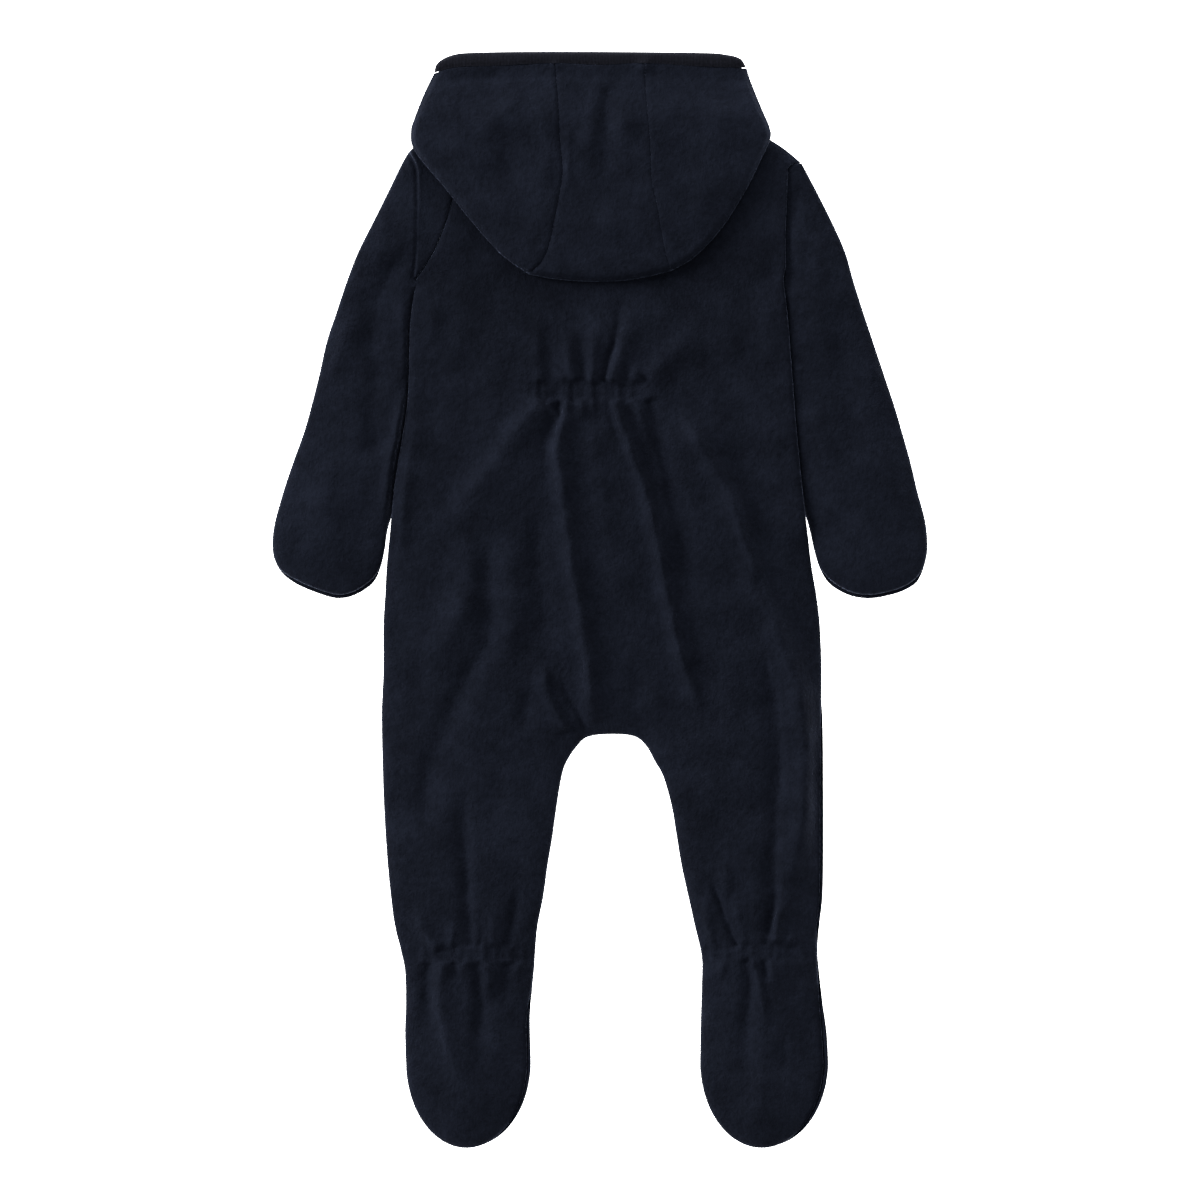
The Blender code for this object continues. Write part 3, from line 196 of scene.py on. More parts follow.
# Folds: the path of the crest, its height (negative for a trough), the width of its left and
# right flanks when following the path, how much wider it is at its far end, and the lengths
# over which it grows and fades.
Fold = namedtuple("Fold", "path height left right spread grow fade")
LIT_SHIFT = 0.5          # a crest lies this share of its flank to the right of its path
BACK_FOLDS = tuple(Fold(*row) for row in (
    # Below the waist elastic, from the left hip to the right.
    (((-36, 121), (-44, 113), (-52, 103), (-66, 83), (-84, 59), (-99, 37)),
     4.8, 15.0, 5.6, 1.3, 4, 50),
    (((-31, 121), (-33, 111)), 1.8, 1.8, 1.8, 1.2, 2, 8),
    (((-27, 121), (-29, 112)), 1.2, 1.6, 1.6, 1.2, 2, 6),
    (((-24, 120), (-27, 111), (-31.5, 98), (-33.5, 76), (-33, 50)), -3.2, 1.5, 3.2, 2.8, 2, 70),
    (((-21, 121), (-24, 110), (-28, 91), (-25.6, 71), (-23.2, 55), (-21.5, 37), (-15.5, -2.5),
      (-9.5, -41), (-7, -77)), 6.2, 7.0, 4.0, 1.1, 3, 20),
    (((-18, 121), (-18.5, 108)), -2.4, 2.0, 2.0, 1.3, 1.5, 9),
    (((-12, 121), (-11, 104)), 2.4, 2.6, 2.4, 1.6, 2, 11),
    (((-6, 120), (-5, 104)), 1.4, 2.0, 2.0, 1.6, 2, 11),
    (((-10, 112), (-6, 80), (0, 40), (4, 0)), 1.8, 8, 8, 1.2, 15, 50),
    (((3, 121), (6.5, 112), (8.5, 105), (16, 83), (25, 63), (29, 45)),
     -3.3, 1.8, 2.6, 1.3, 5, 50),
    (((6.5, 121), (9.5, 108), (15, 92), (22.5, 71), (29, 50), (34, 25), (42, -15),
      (51, -47), (60, -70)), 6.0, 4.4, 3.6, 1.15, 3, 30),
    (((19, 121), (23, 108), (29, 88)), 1.8, 2.6, 2.6, 1.6, 2, 22),
    (((27, 121), (31, 104), (35, 88), (41, 62), (49, 22), (57, -10)),
     -2.4, 5.0, 2.4, 1.3, 2, 60),
    (((44, 118), (56, 96), (67, 79), (77, 58), (84, 35), (91, 10), (98, -6), (108, -30),
      (115, -52), (118.5, -77), (118.5, -110), (116.5, -140), (111, -162), (105, -190)),
     5.6, 4.8, 4.8, 1.8, 26, 45),
    (((40, 108), (54, 92), (66, 76), (76, 56), (82, 36)), 2.0, 10, 8, 1.0, 18, 26),
    (((74, 52), (81, 36), (91, 14), (100, -8), (107, -24)), -2.0, 1.6, 4.0, 1.2, 18, 22),
    (((92, -28), (101, -60), (104, -95), (102, -137), (101, -173), (98.5, -203)),
     -2.6, 3.2, 8.0, 0.8, 28, 4),
    # Left hip.
    (((-80, 45), (-84, 31), (-84, 5), (-98, -29), (-104, -52)), 3.0, 9, 8, 1.2, 24, 36),
    (((-70, 42), (-72, 20), (-70.5, -22), (-82, -45), (-98, -80), (-106, -105)),
     -2.8, 6, 6, 1.2, 24, 40),
    (((-58, 48), (-58.5, 31), (-56, 5), (-58, -22), (-64, -44)), 2.6, 7, 6, 1.5, 26, 34),
    (((-72, -56), (-80, -74), (-86, -98)), 1.4, 9, 7, 1.2, 20, 30),
    (((-41, 62), (-41, 25), (-37, -10), (-38, -34)), -2.8, 8, 6, 1.2, 30, 26),
    (((-46, -46), (-48, -70), (-52, -84)), -2.2, 5, 5, 1.2, 18, 14),
    # At the crotch.
    (((-36, -36), (-34.5, -52), (-30, -65), (-22, -79)), 3.4, 2.6, 4.6, 1.0, 14, 4),
    (((-25, -46), (-21, -56), (-14.5, -68), (-9, -79)), -1.8, 1.5, 2.0, 1.0, 12, 2),
    (((18.5, -34), (19, -70)), -1.3, 4.0, 5.5, 1.0, 16, 12),
    (((30, -36), (31, -70)), 1.3, 5.5, 4.6, 1.2, 16, 14),
    # Above the waist elastic.
    (((-38, 130), (-40.5, 152), (-36, 184)), 1.6, 3.0, 4.0, 1.8, 2, 34),
    (((-31, 131), (-32.5, 148), (-32, 166)), -0.9, 3.0, 3.0, 1.5, 2, 18),
    (((-24, 130), (-28, 140)), 1.4, 1.8, 1.8, 1.3, 2, 8),
    (((-16.5, 131), (-21, 146), (-24, 168)), 2.9, 3.0, 4.2, 1.5, 2, 24),
    (((-12, 131), (-13, 150), (-14, 165)), -1.2, 2.2, 2.2, 1.5, 2, 18),
    (((-7.5, 130), (-5.5, 150), (-4.5, 170)), 3.0, 2.2, 3.6, 1.6, 2, 24),
    (((1, 130), (7.5, 155), (11, 172), (16, 194)), -2.8, 1.5, 1.3, 2.0, 1.5, 40),
    (((4.5, 130), (8, 143), (13, 160), (21, 184)), 3.8, 3.2, 6.0, 1.6, 2, 36),
    (((13, 130), (17, 143)), -1.4, 2.0, 2.0, 1.3, 2, 10),
    (((19, 130), (20.7, 143)), 2.0, 2.2, 2.4, 1.3, 2, 9),
    (((25, 130), (30, 138)), -1.6, 2.0, 2.0, 1.3, 2, 6),
    (((26, 131), (37.5, 145), (55.5, 165.5), (66, 175)), 2.6, 4.5, 8.0, 1.6, 3, 34),
    # Beside the hood and at the sides of the chest.
    (((-98, 186), (-104, 168), (-104, 150)), 1.6, 6, 4, 1.2, 16, 22),
    (((-80, 172), (-92, 150), (-96, 120)), 1.0, 7, 7, 1.3, 18, 28),
    (((96, 188), (100, 160), (100, 132)), 1.2, 5, 6, 1.2, 16, 24),
    (((-111, 110), (-117, 80), (-121, 40), (-123, 0)), 1.4, 5, 2.2, 1.2, 30, 40),
    # Lower legs and feet.
    (((-104, -85), (-108, -119), (-106, -142)), -1.8, 6, 6, 1.0, 20, 20),
    (((-86, -105), (-84, -145), (-82.5, -173), (-80, -209)), -3.4, 5, 7, 0.55, 42, 2),
    (((-112, -184), (-108, -197), (-98, -210)), 2.4, 4.6, 3.6, 0.8, 12, 2),
    (((-50, -170), (-52.5, -185), (-58.5, -209)), -2.1, 4.0, 3.4, 0.8, 14, 2),
    (((-66, -184), (-65.5, -208)), 2.0, 3.4, 3.4, 0.8, 12, 3),
    (((-72, -192), (-73, -209)), -1.4, 1.8, 1.8, 0.8, 8, 2),
    (((-90, -192), (-90, -209)), 1.4, 2.4, 2.4, 0.8, 8, 2),
    (((-96, -216), (-97.5, -229), (-98, -243), (-92.5, -270), (-85, -292)),
     2.6, 6.0, 3.2, 1.3, 3, 26),
    (((-104.5, -217), (-106, -235), (-103, -260)), -2.4, 2.2, 3.6, 1.3, 2, 22),
    (((-90, -217), (-90, -231)), -2.0, 2.8, 2.8, 1.3, 2, 8),
    (((-83, -217), (-83, -228)), 1.2, 2.0, 2.0, 1.3, 2, 8),
    (((-76, -217), (-74, -251), (-74, -291)), -3.0, 4.0, 4.0, 1.4, 2, 45),
    (((-69, -217), (-69, -245)), 2.0, 2.6, 3.0, 1.3, 2, 16),
    (((-58.5, -217), (-58.5, -246)), -2.4, 4.0, 4.0, 1.2, 2, 14),
    (((-50, -217), (-51, -229)), 1.2, 2.4, 2.4, 1.2, 2, 8),
    (((66, -166), (69, -177), (74, -192), (82, -208)), -2.8, 1.5, 2.2, 0.9, 14, 1.5),
    (((73, -155), (75, -182)), 1.8, 3.4, 3.4, 1.0, 10, 14),
    (((60, -176), (63, -192), (66, -207)), 1.4, 3.4, 3.6, 0.9, 8, 4),
    (((79, -178), (86, -208)), 1.6, 3.6, 2.4, 0.8, 14, 3),
    (((106, -162), (103, -184), (98.5, -208)), -1.7, 1.6, 3.0, 0.8, 20, 1.5),
    (((107, -180), (104, -207)), 2.4, 3.4, 1.8, 0.9, 10, 3),
    (((114, -198), (113, -208)), 1.4, 2.0, 2.0, 0.9, 6, 2),
    (((86, -215), (88, -230), (86, -250), (84, -295)), -2.5, 2.4, 4.2, 1.7, 1.5, 42),
    (((90.5, -215), (95, -232), (100, -259)), 1.8, 1.5, 1.3, 1.3, 2, 14),
    (((97, -258), (95.5, -278), (92, -312)), 1.1, 6.0, 5.0, 1.1, 16, 22),
    (((97, -216), (98, -231)), -2.4, 2.2, 1.8, 1.2, 1.5, 7),
    (((101.7, -216), (103.8, -236)), 1.5, 2.0, 2.2, 1.3, 2, 14),
    (((108, -260), (108, -290)), -0.9, 4, 4, 1.0, 12, 12),
    (((72, -215), (71, -230)), 1.2, 3.0, 3.0, 1.0, 3, 10),
))
LEFT_SLEEVE_FOLDS = tuple(Fold(*row) for row in (
    (((-113, 213), (-126, 201), (-136, 181), (-139.5, 160), (-138, 136), (-140, 109),
      (-136.5, 83)), -3.0, 7, 7, 1.1, 22, 12),
    (((-120.5, 188), (-119.8, 150), (-120, 128)), 1.7, 4, 3.6, 1.0, 20, 14),
    (((-118, 126), (-123, 106), (-127, 84), (-130, 64), (-132, 46)), 2.9, 2.4, 3.2, 1.3, 9, 16),
    (((-151, 176), (-158, 150), (-164, 125)), 2.2, 7, 4, 1.1, 22, 24),
    (((-162, 92), (-170, 60), (-174, 35)), 1.6, 8, 8, 1.0, 24, 26),
    (((-142, 70), (-146, 45), (-152, 25)), -1.0, 8, 8, 1.0, 18, 18),
    (((-126, 226), (-138, 222)), 1.0, 4, 4, 1.0, 6, 8),
))
RIGHT_SLEEVE_FOLDS = tuple(Fold(*row) for row in (
    (((118, 252), (116.5, 240), (115, 222)), -1.6, 4, 2.2, 1.0, 8, 14),
    (((108, 259), (115, 262.5), (121, 262)), 1.0, 1.4, 1.4, 1.0, 2, 2),
    (((137, 190), (141, 150), (146, 110), (152, 75)), -1.8, 9, 9, 1.1, 30, 40),
    (((124, 222), (128, 205), (133, 180)), 1.2, 5, 5, 1.0, 12, 20),
    (((165, 98), (170, 70), (174, 42)), 1.4, 7, 9, 1.0, 20, 24),
    (((160, 150), (166, 128)), 1.2, 5, 5, 1.0, 12, 12),
    (((124, 120), (132, 96), (136, 76)), 1.4, 5, 5, 1.0, 16, 20),
    (((150, 62), (152, 40)), -1.0, 7, 7, 1.0, 12, 14),
    (((116, 138.5), (122.5, 137.8)), 0.9, 0.9, 0.9, 1.0, 1.5, 2),
))
HOOD_FOLDS = tuple(Fold(*row) for row in (
    (((2.7, 312), (1, 290), (0, 260), (-2, 243)), -2.2, 5, 4.4, 1.5, 12, 30),
    (((-8, 292), (-9.5, 262)), 1.5, 5, 5, 1.0, 14, 16),
    (((11, 304), (10, 270)), 1.1, 5, 5, 1.0, 14, 16),
    (((1, 242), (0, 212)), 1.4, 9, 9, 1.0, 14, 14),
    (((-20.5, 292), (-19.5, 262), (-21, 246)), 1.0, 2.4, 1.2, 1.0, 14, 14),
    (((-62, 288), (-60, 262), (-54, 240)), -1.8, 9, 9, 1.1, 18, 24),
    (((-46, 306), (-62, 294), (-80, 279)), 1.5, 6, 6, 1.1, 14, 20),
    (((-94, 312), (-76, 313.5), (-56, 314)), -1.3, 3.5, 4, 1.0, 12, 12),
    (((-92, 290), (-88, 268), (-74, 246)), 1.3, 8, 8, 1.1, 16, 20),
    (((-36, 300), (-34, 270), (-38, 240)), 1.0, 5, 5, 1.0, 18, 20),
    (((23, 296), (22, 268)), -1.2, 5, 5, 1.0, 14, 14),
    (((68, 304), (68, 276)), 1.5, 11, 11, 1.0, 14, 16),
    (((44, 300), (48, 270), (46, 250)), -1.4, 7, 7, 1.1, 16, 20),
    (((70, 262), (56, 236), (50, 218)), 1.2, 8, 8, 1.1, 16, 18),
    (((22, 215), (20, 203)), -0.9, 6, 6, 1.0, 8, 6),
))
BROW_ROLL = 0.8          # how far the hood's panels turn down to the strip's seam
# Small knobs where the hood's seams run under the strip: x, y, height, radius.
KNOBS = ((-26.5, 320.4, 1.8, 3.0), (26.5, 320.0, 2.6, 4.2))

# Gathers along a sewn elastic: its two ends, half the band's height, the number of small
# ridges, their height, how far they reach past the band, and what makes each band uneven in its
# own way.
Gather = namedtuple("Gather", "start end half_band count height reach phase")
WAIST = Gather((-41.5, 125.4), (24.5, 125.4), 4.2, 13, 1.0, 3.5, 0.4)
ANKLE_LEFT = Gather((-119, -212), (-39.5, -213), 2.4, 15, 0.7, 4.0, 1.3)
ANKLE_RIGHT = Gather((61, -212.5), (130, -210.5), 3.0, 13, 0.7, 4.0, 2.6)
GATHERS = (WAIST, ANKLE_LEFT, ANKLE_RIGHT)
BAND_DEPTH = 0.8
BAND_REACH = 3.0

# How far the cloth rises from its edges, and over which distance.
BEND = 1.9
BEND_REACH = 1.7
BODY_PUFF = 6.4
BODY_PUFF_REACH = 28.0
SLEEVE_PUFF = 4.8
SLEEVE_PUFF_REACH = 20.0
HOOD_PUFF = 4.6
HOOD_PUFF_REACH = 24.0
HOOD_DROP = 2.0
HOOD_DROP_REACH = 4.0
SEAM_DIP = 0.5
SEAM_DIP_REACH = 1.3
HOOD_SEAM_DIPS = (0.7, 0.3)
HOOD_SEAM_REACH = 1.5
ARMHOLE_FOOT = 8.2       # height of the left armhole seam at the underarm
ARMHOLE_RISE = 1.4       # how much higher it is above that
CREASE_RISE = 0.8        # how much higher still the folded cloth is along its edge
CREASE_DIP = 1.1         # depth of the sleeve's dip at the foot of that edge
FOLD_TOP = 9.5           # height of the back's fold over the right armhole
FOLD_FOOT = 6.4          # and of the sleeve under it
FOLD_CLOSED_Y = 240      # above this the sleeve rises to the fold's underside
SEAM_ROLL = 0.3          # radius of an edge that is sewn tight

# Fibres of the nap that stand out along the edges.
NAP_STEP = 0.2
NAP_LENGTH = (0.6, 1.7)
NAP_WIDTH = 0.13
NAP_ROOT = 0.35


# ---- lines in the plane -------------------------------------------------------------------

def curve(points, step):
    """A smooth curve through the points, with a point about every step millimetres."""
    p = np.asarray(points, float)
    q = np.vstack([2 * p[0] - p[1], p, 2 * p[-1] - p[-2]])
    t = np.linspace(0, 1, 24, endpoint=False)[:, None]
    parts = []
    for a, b, c, d in zip(q, q[1:], q[2:], q[3:]):
        parts.append(0.5 * (2 * b + (c - a) * t + (2 * a - 5 * b + 4 * c - d) * t ** 2
                            + (3 * b - a - 3 * c + d) * t ** 3))
    return even(np.vstack(parts + [p[-1:]]), step)


def outline(points):
    """A smooth curve with the spacing of the outlines."""
    return curve(points, OUTLINE)


def even(dense, step):
    """The same line with a point about every step millimetres."""
    run = np.r_[0, np.cumsum(np.hypot(*np.diff(dense, axis=0).T))]
    stations = np.linspace(0, run[-1], max(2, int(round(run[-1] / step)) + 1))
    return np.c_[np.interp(stations, run, dense[:, 0]), np.interp(stations, run, dense[:, 1])]


def along(line, x, y):
    """Signed distance from a line, positive on its left, and the length run along it."""
    best = np.full(np.shape(x), np.inf)
    side = np.zeros_like(best)
    place = np.zeros_like(best)
    run = 0.0
    for (ax, ay), (bx, by) in zip(line, line[1:]):
        length = math.hypot(bx - ax, by - ay)
        ux, uy = (bx - ax) / length, (by - ay) / length
        t = np.clip((x - ax) * ux + (y - ay) * uy, 0, length)
        dx, dy = x - ax - t * ux, y - ay - t * uy
        d = np.hypot(dx, dy)
        near = d < best
        best = np.where(near, d, best)
        side = np.where(near, ux * dy - uy * dx, side)
        place = np.where(near, run + t, place)
        run += length
    return np.where(side < 0, -best, best), place


def measure(line):
    """A function that gives the distance of points from a line."""
    dense = even(line, 0.3)
    tree = kdtree.KDTree(len(dense))
    for i, (px, py) in enumerate(dense):
        tree.insert((px, py, 0), i)
    tree.balance()

    def reach(x, y):
        return np.array([tree.find((px, py, 0))[2] for px, py in zip(x, y)])

    return reach


def beside(line, shift):
    """A line moved sideways, to its left."""
    tangent = np.gradient(line, axis=0)
    tangent /= np.hypot(*tangent.T)[:, None]
    return line + shift * np.c_[-tangent[:, 1], tangent[:, 0]]


def around(loop, shift):
    """A closed line moved sideways, to its left."""
    return beside(np.vstack([loop[-1:], loop, loop[:1]]), shift)[1:-1]


def mirrored(points):
    return tuple((-x, y) for x, y in points)


def ease(t):
    """A smooth step from 0 to 1 while t goes from 0 to 1."""
    t = np.clip(t, 0, 1)
    return t * t * (3 - 2 * t)


def bell(d, width):
    return np.exp(-(d / width) ** 2)


def rounded(share):
    """A quarter circle: how high an edge of radius 1 is at a distance from its rim."""
    return np.sqrt(1 - (1 - np.clip(share, 0, 1)) ** 2)


def column(rows, y, index):
    table = np.asarray(rows, float)
    return np.interp(-np.asarray(y, float), -table[:, 0], table[:, index])


# ---- outlines -------------------------------------------------------------------------------

def toe(left, right, depth):
    middle, half = (left + right) / 2, (right - left) / 2
    angles = np.linspace(math.pi, 2 * math.pi, TOE_POINTS + 2)[1:-1]
    return np.c_[middle + half * np.cos(angles), TOE_Y + depth * np.sin(angles)]


def legs(front):
    """The body's edge from the right underarm round both legs to the left underarm."""
    sides, seams = np.asarray(SIDES, float), np.asarray(INSEAMS, float)
    outer_peek, foot_peek = column(PEEKS, sides[:, 0], 1), column(PEEKS, seams[:, 0], 2)
    inset = FRONT_INSET if front else 0.0
    outer_shift = np.where(outer_peek > 0, 0 if front else outer_peek, inset)
    foot_shift = np.where(foot_peek > 0, 0 if front else foot_peek, inset)
    right = np.c_[sides[:, 2] - outer_shift, sides[:, 0]]
    left = np.c_[sides[:, 1] + inset, sides[:, 0]]
    inner_left = np.c_[seams[:, 1] - foot_shift, seams[:, 0]]
    inner_right = np.c_[seams[:, 2] + inset, seams[:, 0]]
    crotch = np.asarray(CROTCH, float)[::-1] + (0, inset)
    depth = TOE_LENGTH - inset / 2
    toes_right = toe(inner_right[-1, 0], right[-1, 0], depth)[::-1]
    toes_left = toe(left[-1, 0], inner_left[-1, 0], depth)[::-1]
    return curve(np.vstack([right, toes_right, inner_right[::-1], crotch, inner_left,
                            toes_left, left[::-1]]), OUTLINE)


def sleeve_edge(side):
    """A sleeve's edge, from the shoulder round the mitten to the underarm."""
    hidden = (UNDERARM,) + UNDER_SIDE
    if side > 0:
        return curve(RIGHT_OUTER + (hidden + RIGHT_INNER)[::-1], OUTLINE)
    return curve(LEFT_OUTER + (mirrored(hidden) + LEFT_INNER)[::-1], OUTLINE)


def back_loop():
    """Outline of the back, clockwise from the left end of the neck."""
    reach = OVERLAP * ease((from_shoulder(*ARMHOLE_RIGHT.T) - 5) / 8)
    reach *= ease((ARMHOLE_RIGHT[:, 1] - UNDERARM[1]) / 8)
    fold = beside(ARMHOLE_RIGHT, -SEAM)
    fold += (beside(ARMHOLE_RIGHT, 1) - ARMHOLE_RIGHT) * reach[:, None]
    return np.vstack([outline(NECK_LINE), SHOULDER[:-1], fold[:-1], BODY_EDGE,
                      beside(ARMHOLE_LEFT, SEAM)[-2::-1]])


def front_loop(side):
    """Outline of one front panel; side is -1 for the wearer's left, 1 for the right."""
    edge = legs(front=True)
    middle = int(np.argmin(np.hypot(edge[:, 0] - ZIP_X, edge[:, 1] - CROTCH[1][1])))
    if side > 0:
        half = edge[:middle + 1]
        hole = np.vstack([SHOULDER[:-3] - (0, FRONT_INSET + HIDDEN_SHIFT),
                          beside(ARMHOLE_RIGHT, -SEAM - HIDDEN_SHIFT)[3:-1]])
    else:
        half = edge[:middle - 1:-1]
        hole = beside(ARMHOLE_LEFT, SEAM + HIDDEN_SHIFT)[:-1]
    half = half[side * (half[:, 0] - ZIP_X) > SLIT + 1]
    near, far = ZIP_X + side * SLIT, ZIP_X + side * ZIP_HALF_GAP
    centre = even(np.array([(near, half[-1, 1]), (near, ZIP_END - ZIP_HALF_GAP), (far, ZIP_END),
                            (far, ZIP_TOP + SEAM)]), OUTLINE)
    neck = [(side * x, y) for x, y in FRONT_NECK[::-1]]
    corner = [(side * NECK_SIDE[0], NECK_SIDE[1])]
    return np.vstack([hole, half, centre, curve(neck + corner, OUTLINE)])


def inside(loop, x, y):
    """Which points are inside a closed outline."""
    hits = np.zeros(np.shape(x), int)
    for (ax, ay), (bx, by) in zip(loop, np.roll(loop, -1, axis=0)):
        if ay != by:
            near = np.flatnonzero((ay > y) != (by > y))
            hits[near] += x[near] < ax + (y[near] - ay) * (bx - ax) / (by - ay)
    return hits % 2 == 1


ARMHOLE_LEFT = outline(LEFT_ARMHOLE)
ARMHOLE_RIGHT = outline(RIGHT_ARMHOLE)
SHOULDER = outline(RIGHT_SHOULDER)
LEFT_CREASE_LINE = outline(LEFT_CREASE)
BODY_EDGE = legs(front=False)
HOOD_FOLDED_EDGE = np.vstack([
    outline(HOOD_LEFT_EDGE)[:-1], outline(HOOD_CROWN)[:-1],
    outline(HOOD_RIGHT_EDGE)[::-1],
])
from_body_edge = measure(BODY_EDGE)
from_hood_edge = measure(HOOD_FOLDED_EDGE)
from_shoulder = measure(SHOULDER)
from_armholes = {-1: measure(ARMHOLE_LEFT), 1: measure(ARMHOLE_RIGHT)}
from_hood_seams = [measure(outline(seam)) for seam in (HOOD_SEAM_LEFT, HOOD_SEAM_RIGHT)]
from_brow = measure(outline(HOOD_BROW))
BODY_LOOP = back_loop()


# ---- the height of the cloth ----------------------------------------------------------------

def relief(folds, x, y):
    """The sum of a table of folds."""
    height = np.zeros(np.shape(x))
    for number, fold in enumerate(folds):
        line = curve(fold.path, CURVE_STEP)
        lit = fold.right if line[-1, 1] < line[0, 1] else fold.left
        line[:, 0] += LIT_SHIFT * lit * np.linspace(1, fold.spread, len(line))
        reach = 2.6 * max(fold.left, fold.right) * max(1, fold.spread)
        low, high = line.min(axis=0) - reach, line.max(axis=0) + reach
        near = (x > low[0]) & (x < high[0]) & (y > low[1]) & (y < high[1])
        d, run = along(line, x[near], y[near])
        total = np.hypot(*np.diff(line, axis=0).T).sum()
        wander = 0.35 * np.sin(0.16 * run + 1.7 * number) + 0.2 * np.sin(0.41 * run + number)
        swell = 1 + 0.14 * np.sin(0.11 * run + 2.3 * number) + 0.08 * np.sin(0.3 * run + number)
        widen = 1 + (fold.spread - 1) * run / total
        width = np.where(d > 0, fold.left, fold.right) * widen
        ends = ease(run / fold.grow) * ease((total - run) / fold.fade)
        profile = np.exp(-np.abs((d - wander) / width) ** 1.8)
        height[near] += fold.height * swell * ends * profile
    return height


def drift(x, y, scale, seed):
    """A smooth random surface between about -1 and 1, with features of one scale."""
    rng = np.random.default_rng(seed)
    total = np.zeros(np.shape(x))
    for _ in range(9):
        angle, phase = rng.uniform(0, math.pi), rng.uniform(0, 2 * math.pi)
        wave = 2 * math.pi / (scale * rng.uniform(0.7, 1.5))
        total += np.sin(wave * (x * math.cos(angle) + y * math.sin(angle)) + phase)
    return total / 4.2


def handled(x, y, seed):
    """The slight unevenness of cloth laid out by hand."""
    return (0.55 * drift(x, y, 62, seed) + 0.3 * drift(x, y, 24, seed + 1)
            + 0.1 * drift(x, y, 9, seed + 2))


def gathers(gather, x, y):
    """Small uneven puckers that cross an elastic, and the trough that it pulls."""
    (ax, ay), (bx, by) = gather.start, gather.end
    length = math.hypot(bx - ax, by - ay)
    ux, uy = (bx - ax) / length, (by - ay) / length
    s = (x - ax) * ux + (y - ay) * uy
    n = (y - ay) * ux - (x - ax) * uy
    outside = np.maximum(np.abs(n) - gather.half_band, 0)
    pitch = length / gather.count
    height = -BAND_DEPTH * bell(outside, BAND_REACH)
    for i in range(gather.count):
        centre = (i + 0.5 + 0.26 * math.sin(2.4 * i + gather.phase)) * pitch
        size = gather.height * (0.75 + 0.5 * math.sin(1.9 * i + 2 * gather.phase))
        lean = 0.06 * math.sin(3.1 * i + gather.phase)
        reach = gather.reach * (1 + 0.5 * math.sin(2.9 * i))
        height += size * bell(s - centre - lean * n, 0.3 * pitch) * bell(outside, reach)
    for stitched in (-1, 1):
        height -= 0.2 * bell(n - stitched * 0.62 * gather.half_band, 0.8)
    ends = ease((s + 4) / 8) * ease((length + 4 - s) / 8)
    return height * ends


def bend(d):
    """The quick rise where the cloth bends round its own edge."""
    return BEND * (1 - np.exp(-np.maximum(d, 0) / BEND_REACH))


def soft_floor(z, floor, width):
    return floor + width * np.logaddexp(0, (z - floor) / width)


def seam_dip(d):
    return SEAM_DIP * bell(d, SEAM_DIP_REACH)


def armhole_top(y):
    """Height of the left armhole seam."""
    return ARMHOLE_FOOT + ARMHOLE_RISE * ease((y - 193) / 14)


def folded_over(x, y, z):
    """z, with the step where the cloth beside the left armhole lies over the sleeve.

    The step fades out below the underarm, where the sleeve is under the body's side.
    """
    off_crease = along(LEFT_CREASE_LINE, x, y)[0]
    off_seam = from_armholes[-1](x, y)
    plateau = armhole_top(y) + CREASE_RISE * ease((off_seam - 3) / 10)
    plateau += 0.5 * handled(x, y, 31) * ease(off_seam / 4)
    above_foot = ease((y - 182) / 10)
    foot = above_foot * CREASE_DIP * bell(off_crease + 1.5, 1.1)
    return z - foot + (plateau - z + foot) * above_foot * ease((off_crease + 0.9) / 1.3)


def drawn_to(side, height, x, y, z):
    """z, brought to one height near an armhole."""
    return height + (z - height) * ease(from_armholes[side](x, y) / 13)


def pressed(z, y):
    """z, but never above the underside of the hood."""
    return np.where(z > UNDER_HOOD, z + (UNDER_HOOD - z) * ease((y - 158) / 38), z)


def side_line(side):
    return curve([(row[2 if side > 0 else 1], row[0]) for row in SIDES[:7]], CURVE_STEP)


def over_sleeve(x, y, margin, slope):
    """1 where the body's sides lie on the sleeves, and 0 further in than the margin."""
    inward = np.where(x < 0, x - column(SIDES, y, 1), column(SIDES, y, 2) - x)
    return ease((193 - y) / 14) * ease((y - 27) / 20) * ease((margin - inward) / slope)


def body_top(x, y):
    off_shoulder = from_shoulder(x, y)
    d = np.minimum(from_body_edge(x, y), off_shoulder)
    z = PAIR + bend(d) + BODY_PUFF * (1 - np.exp(-d / BODY_PUFF_REACH))
    z = z + over_sleeve(x, y, 56, 43) * (SIDE_TOP - BEND + bend(d) - z)
    z = z + (relief(BACK_FOLDS, x, y) + handled(x, y, 3)) * ease(d / 7)
    for gather in GATHERS:
        z = z + gathers(gather, x, y) * ease(d / 3)
    z = drawn_to(-1, armhole_top(y), x, y, z) - seam_dip(from_armholes[-1](x, y))
    z = z + (drawn_to(1, FOLD_TOP, x, y, z) - z) * ease(off_shoulder / 9)
    return pressed(soft_floor(z, PAIR + 0.1, 0.8), y)


def body_under(x, y):
    return body_top(x, y) - WALL


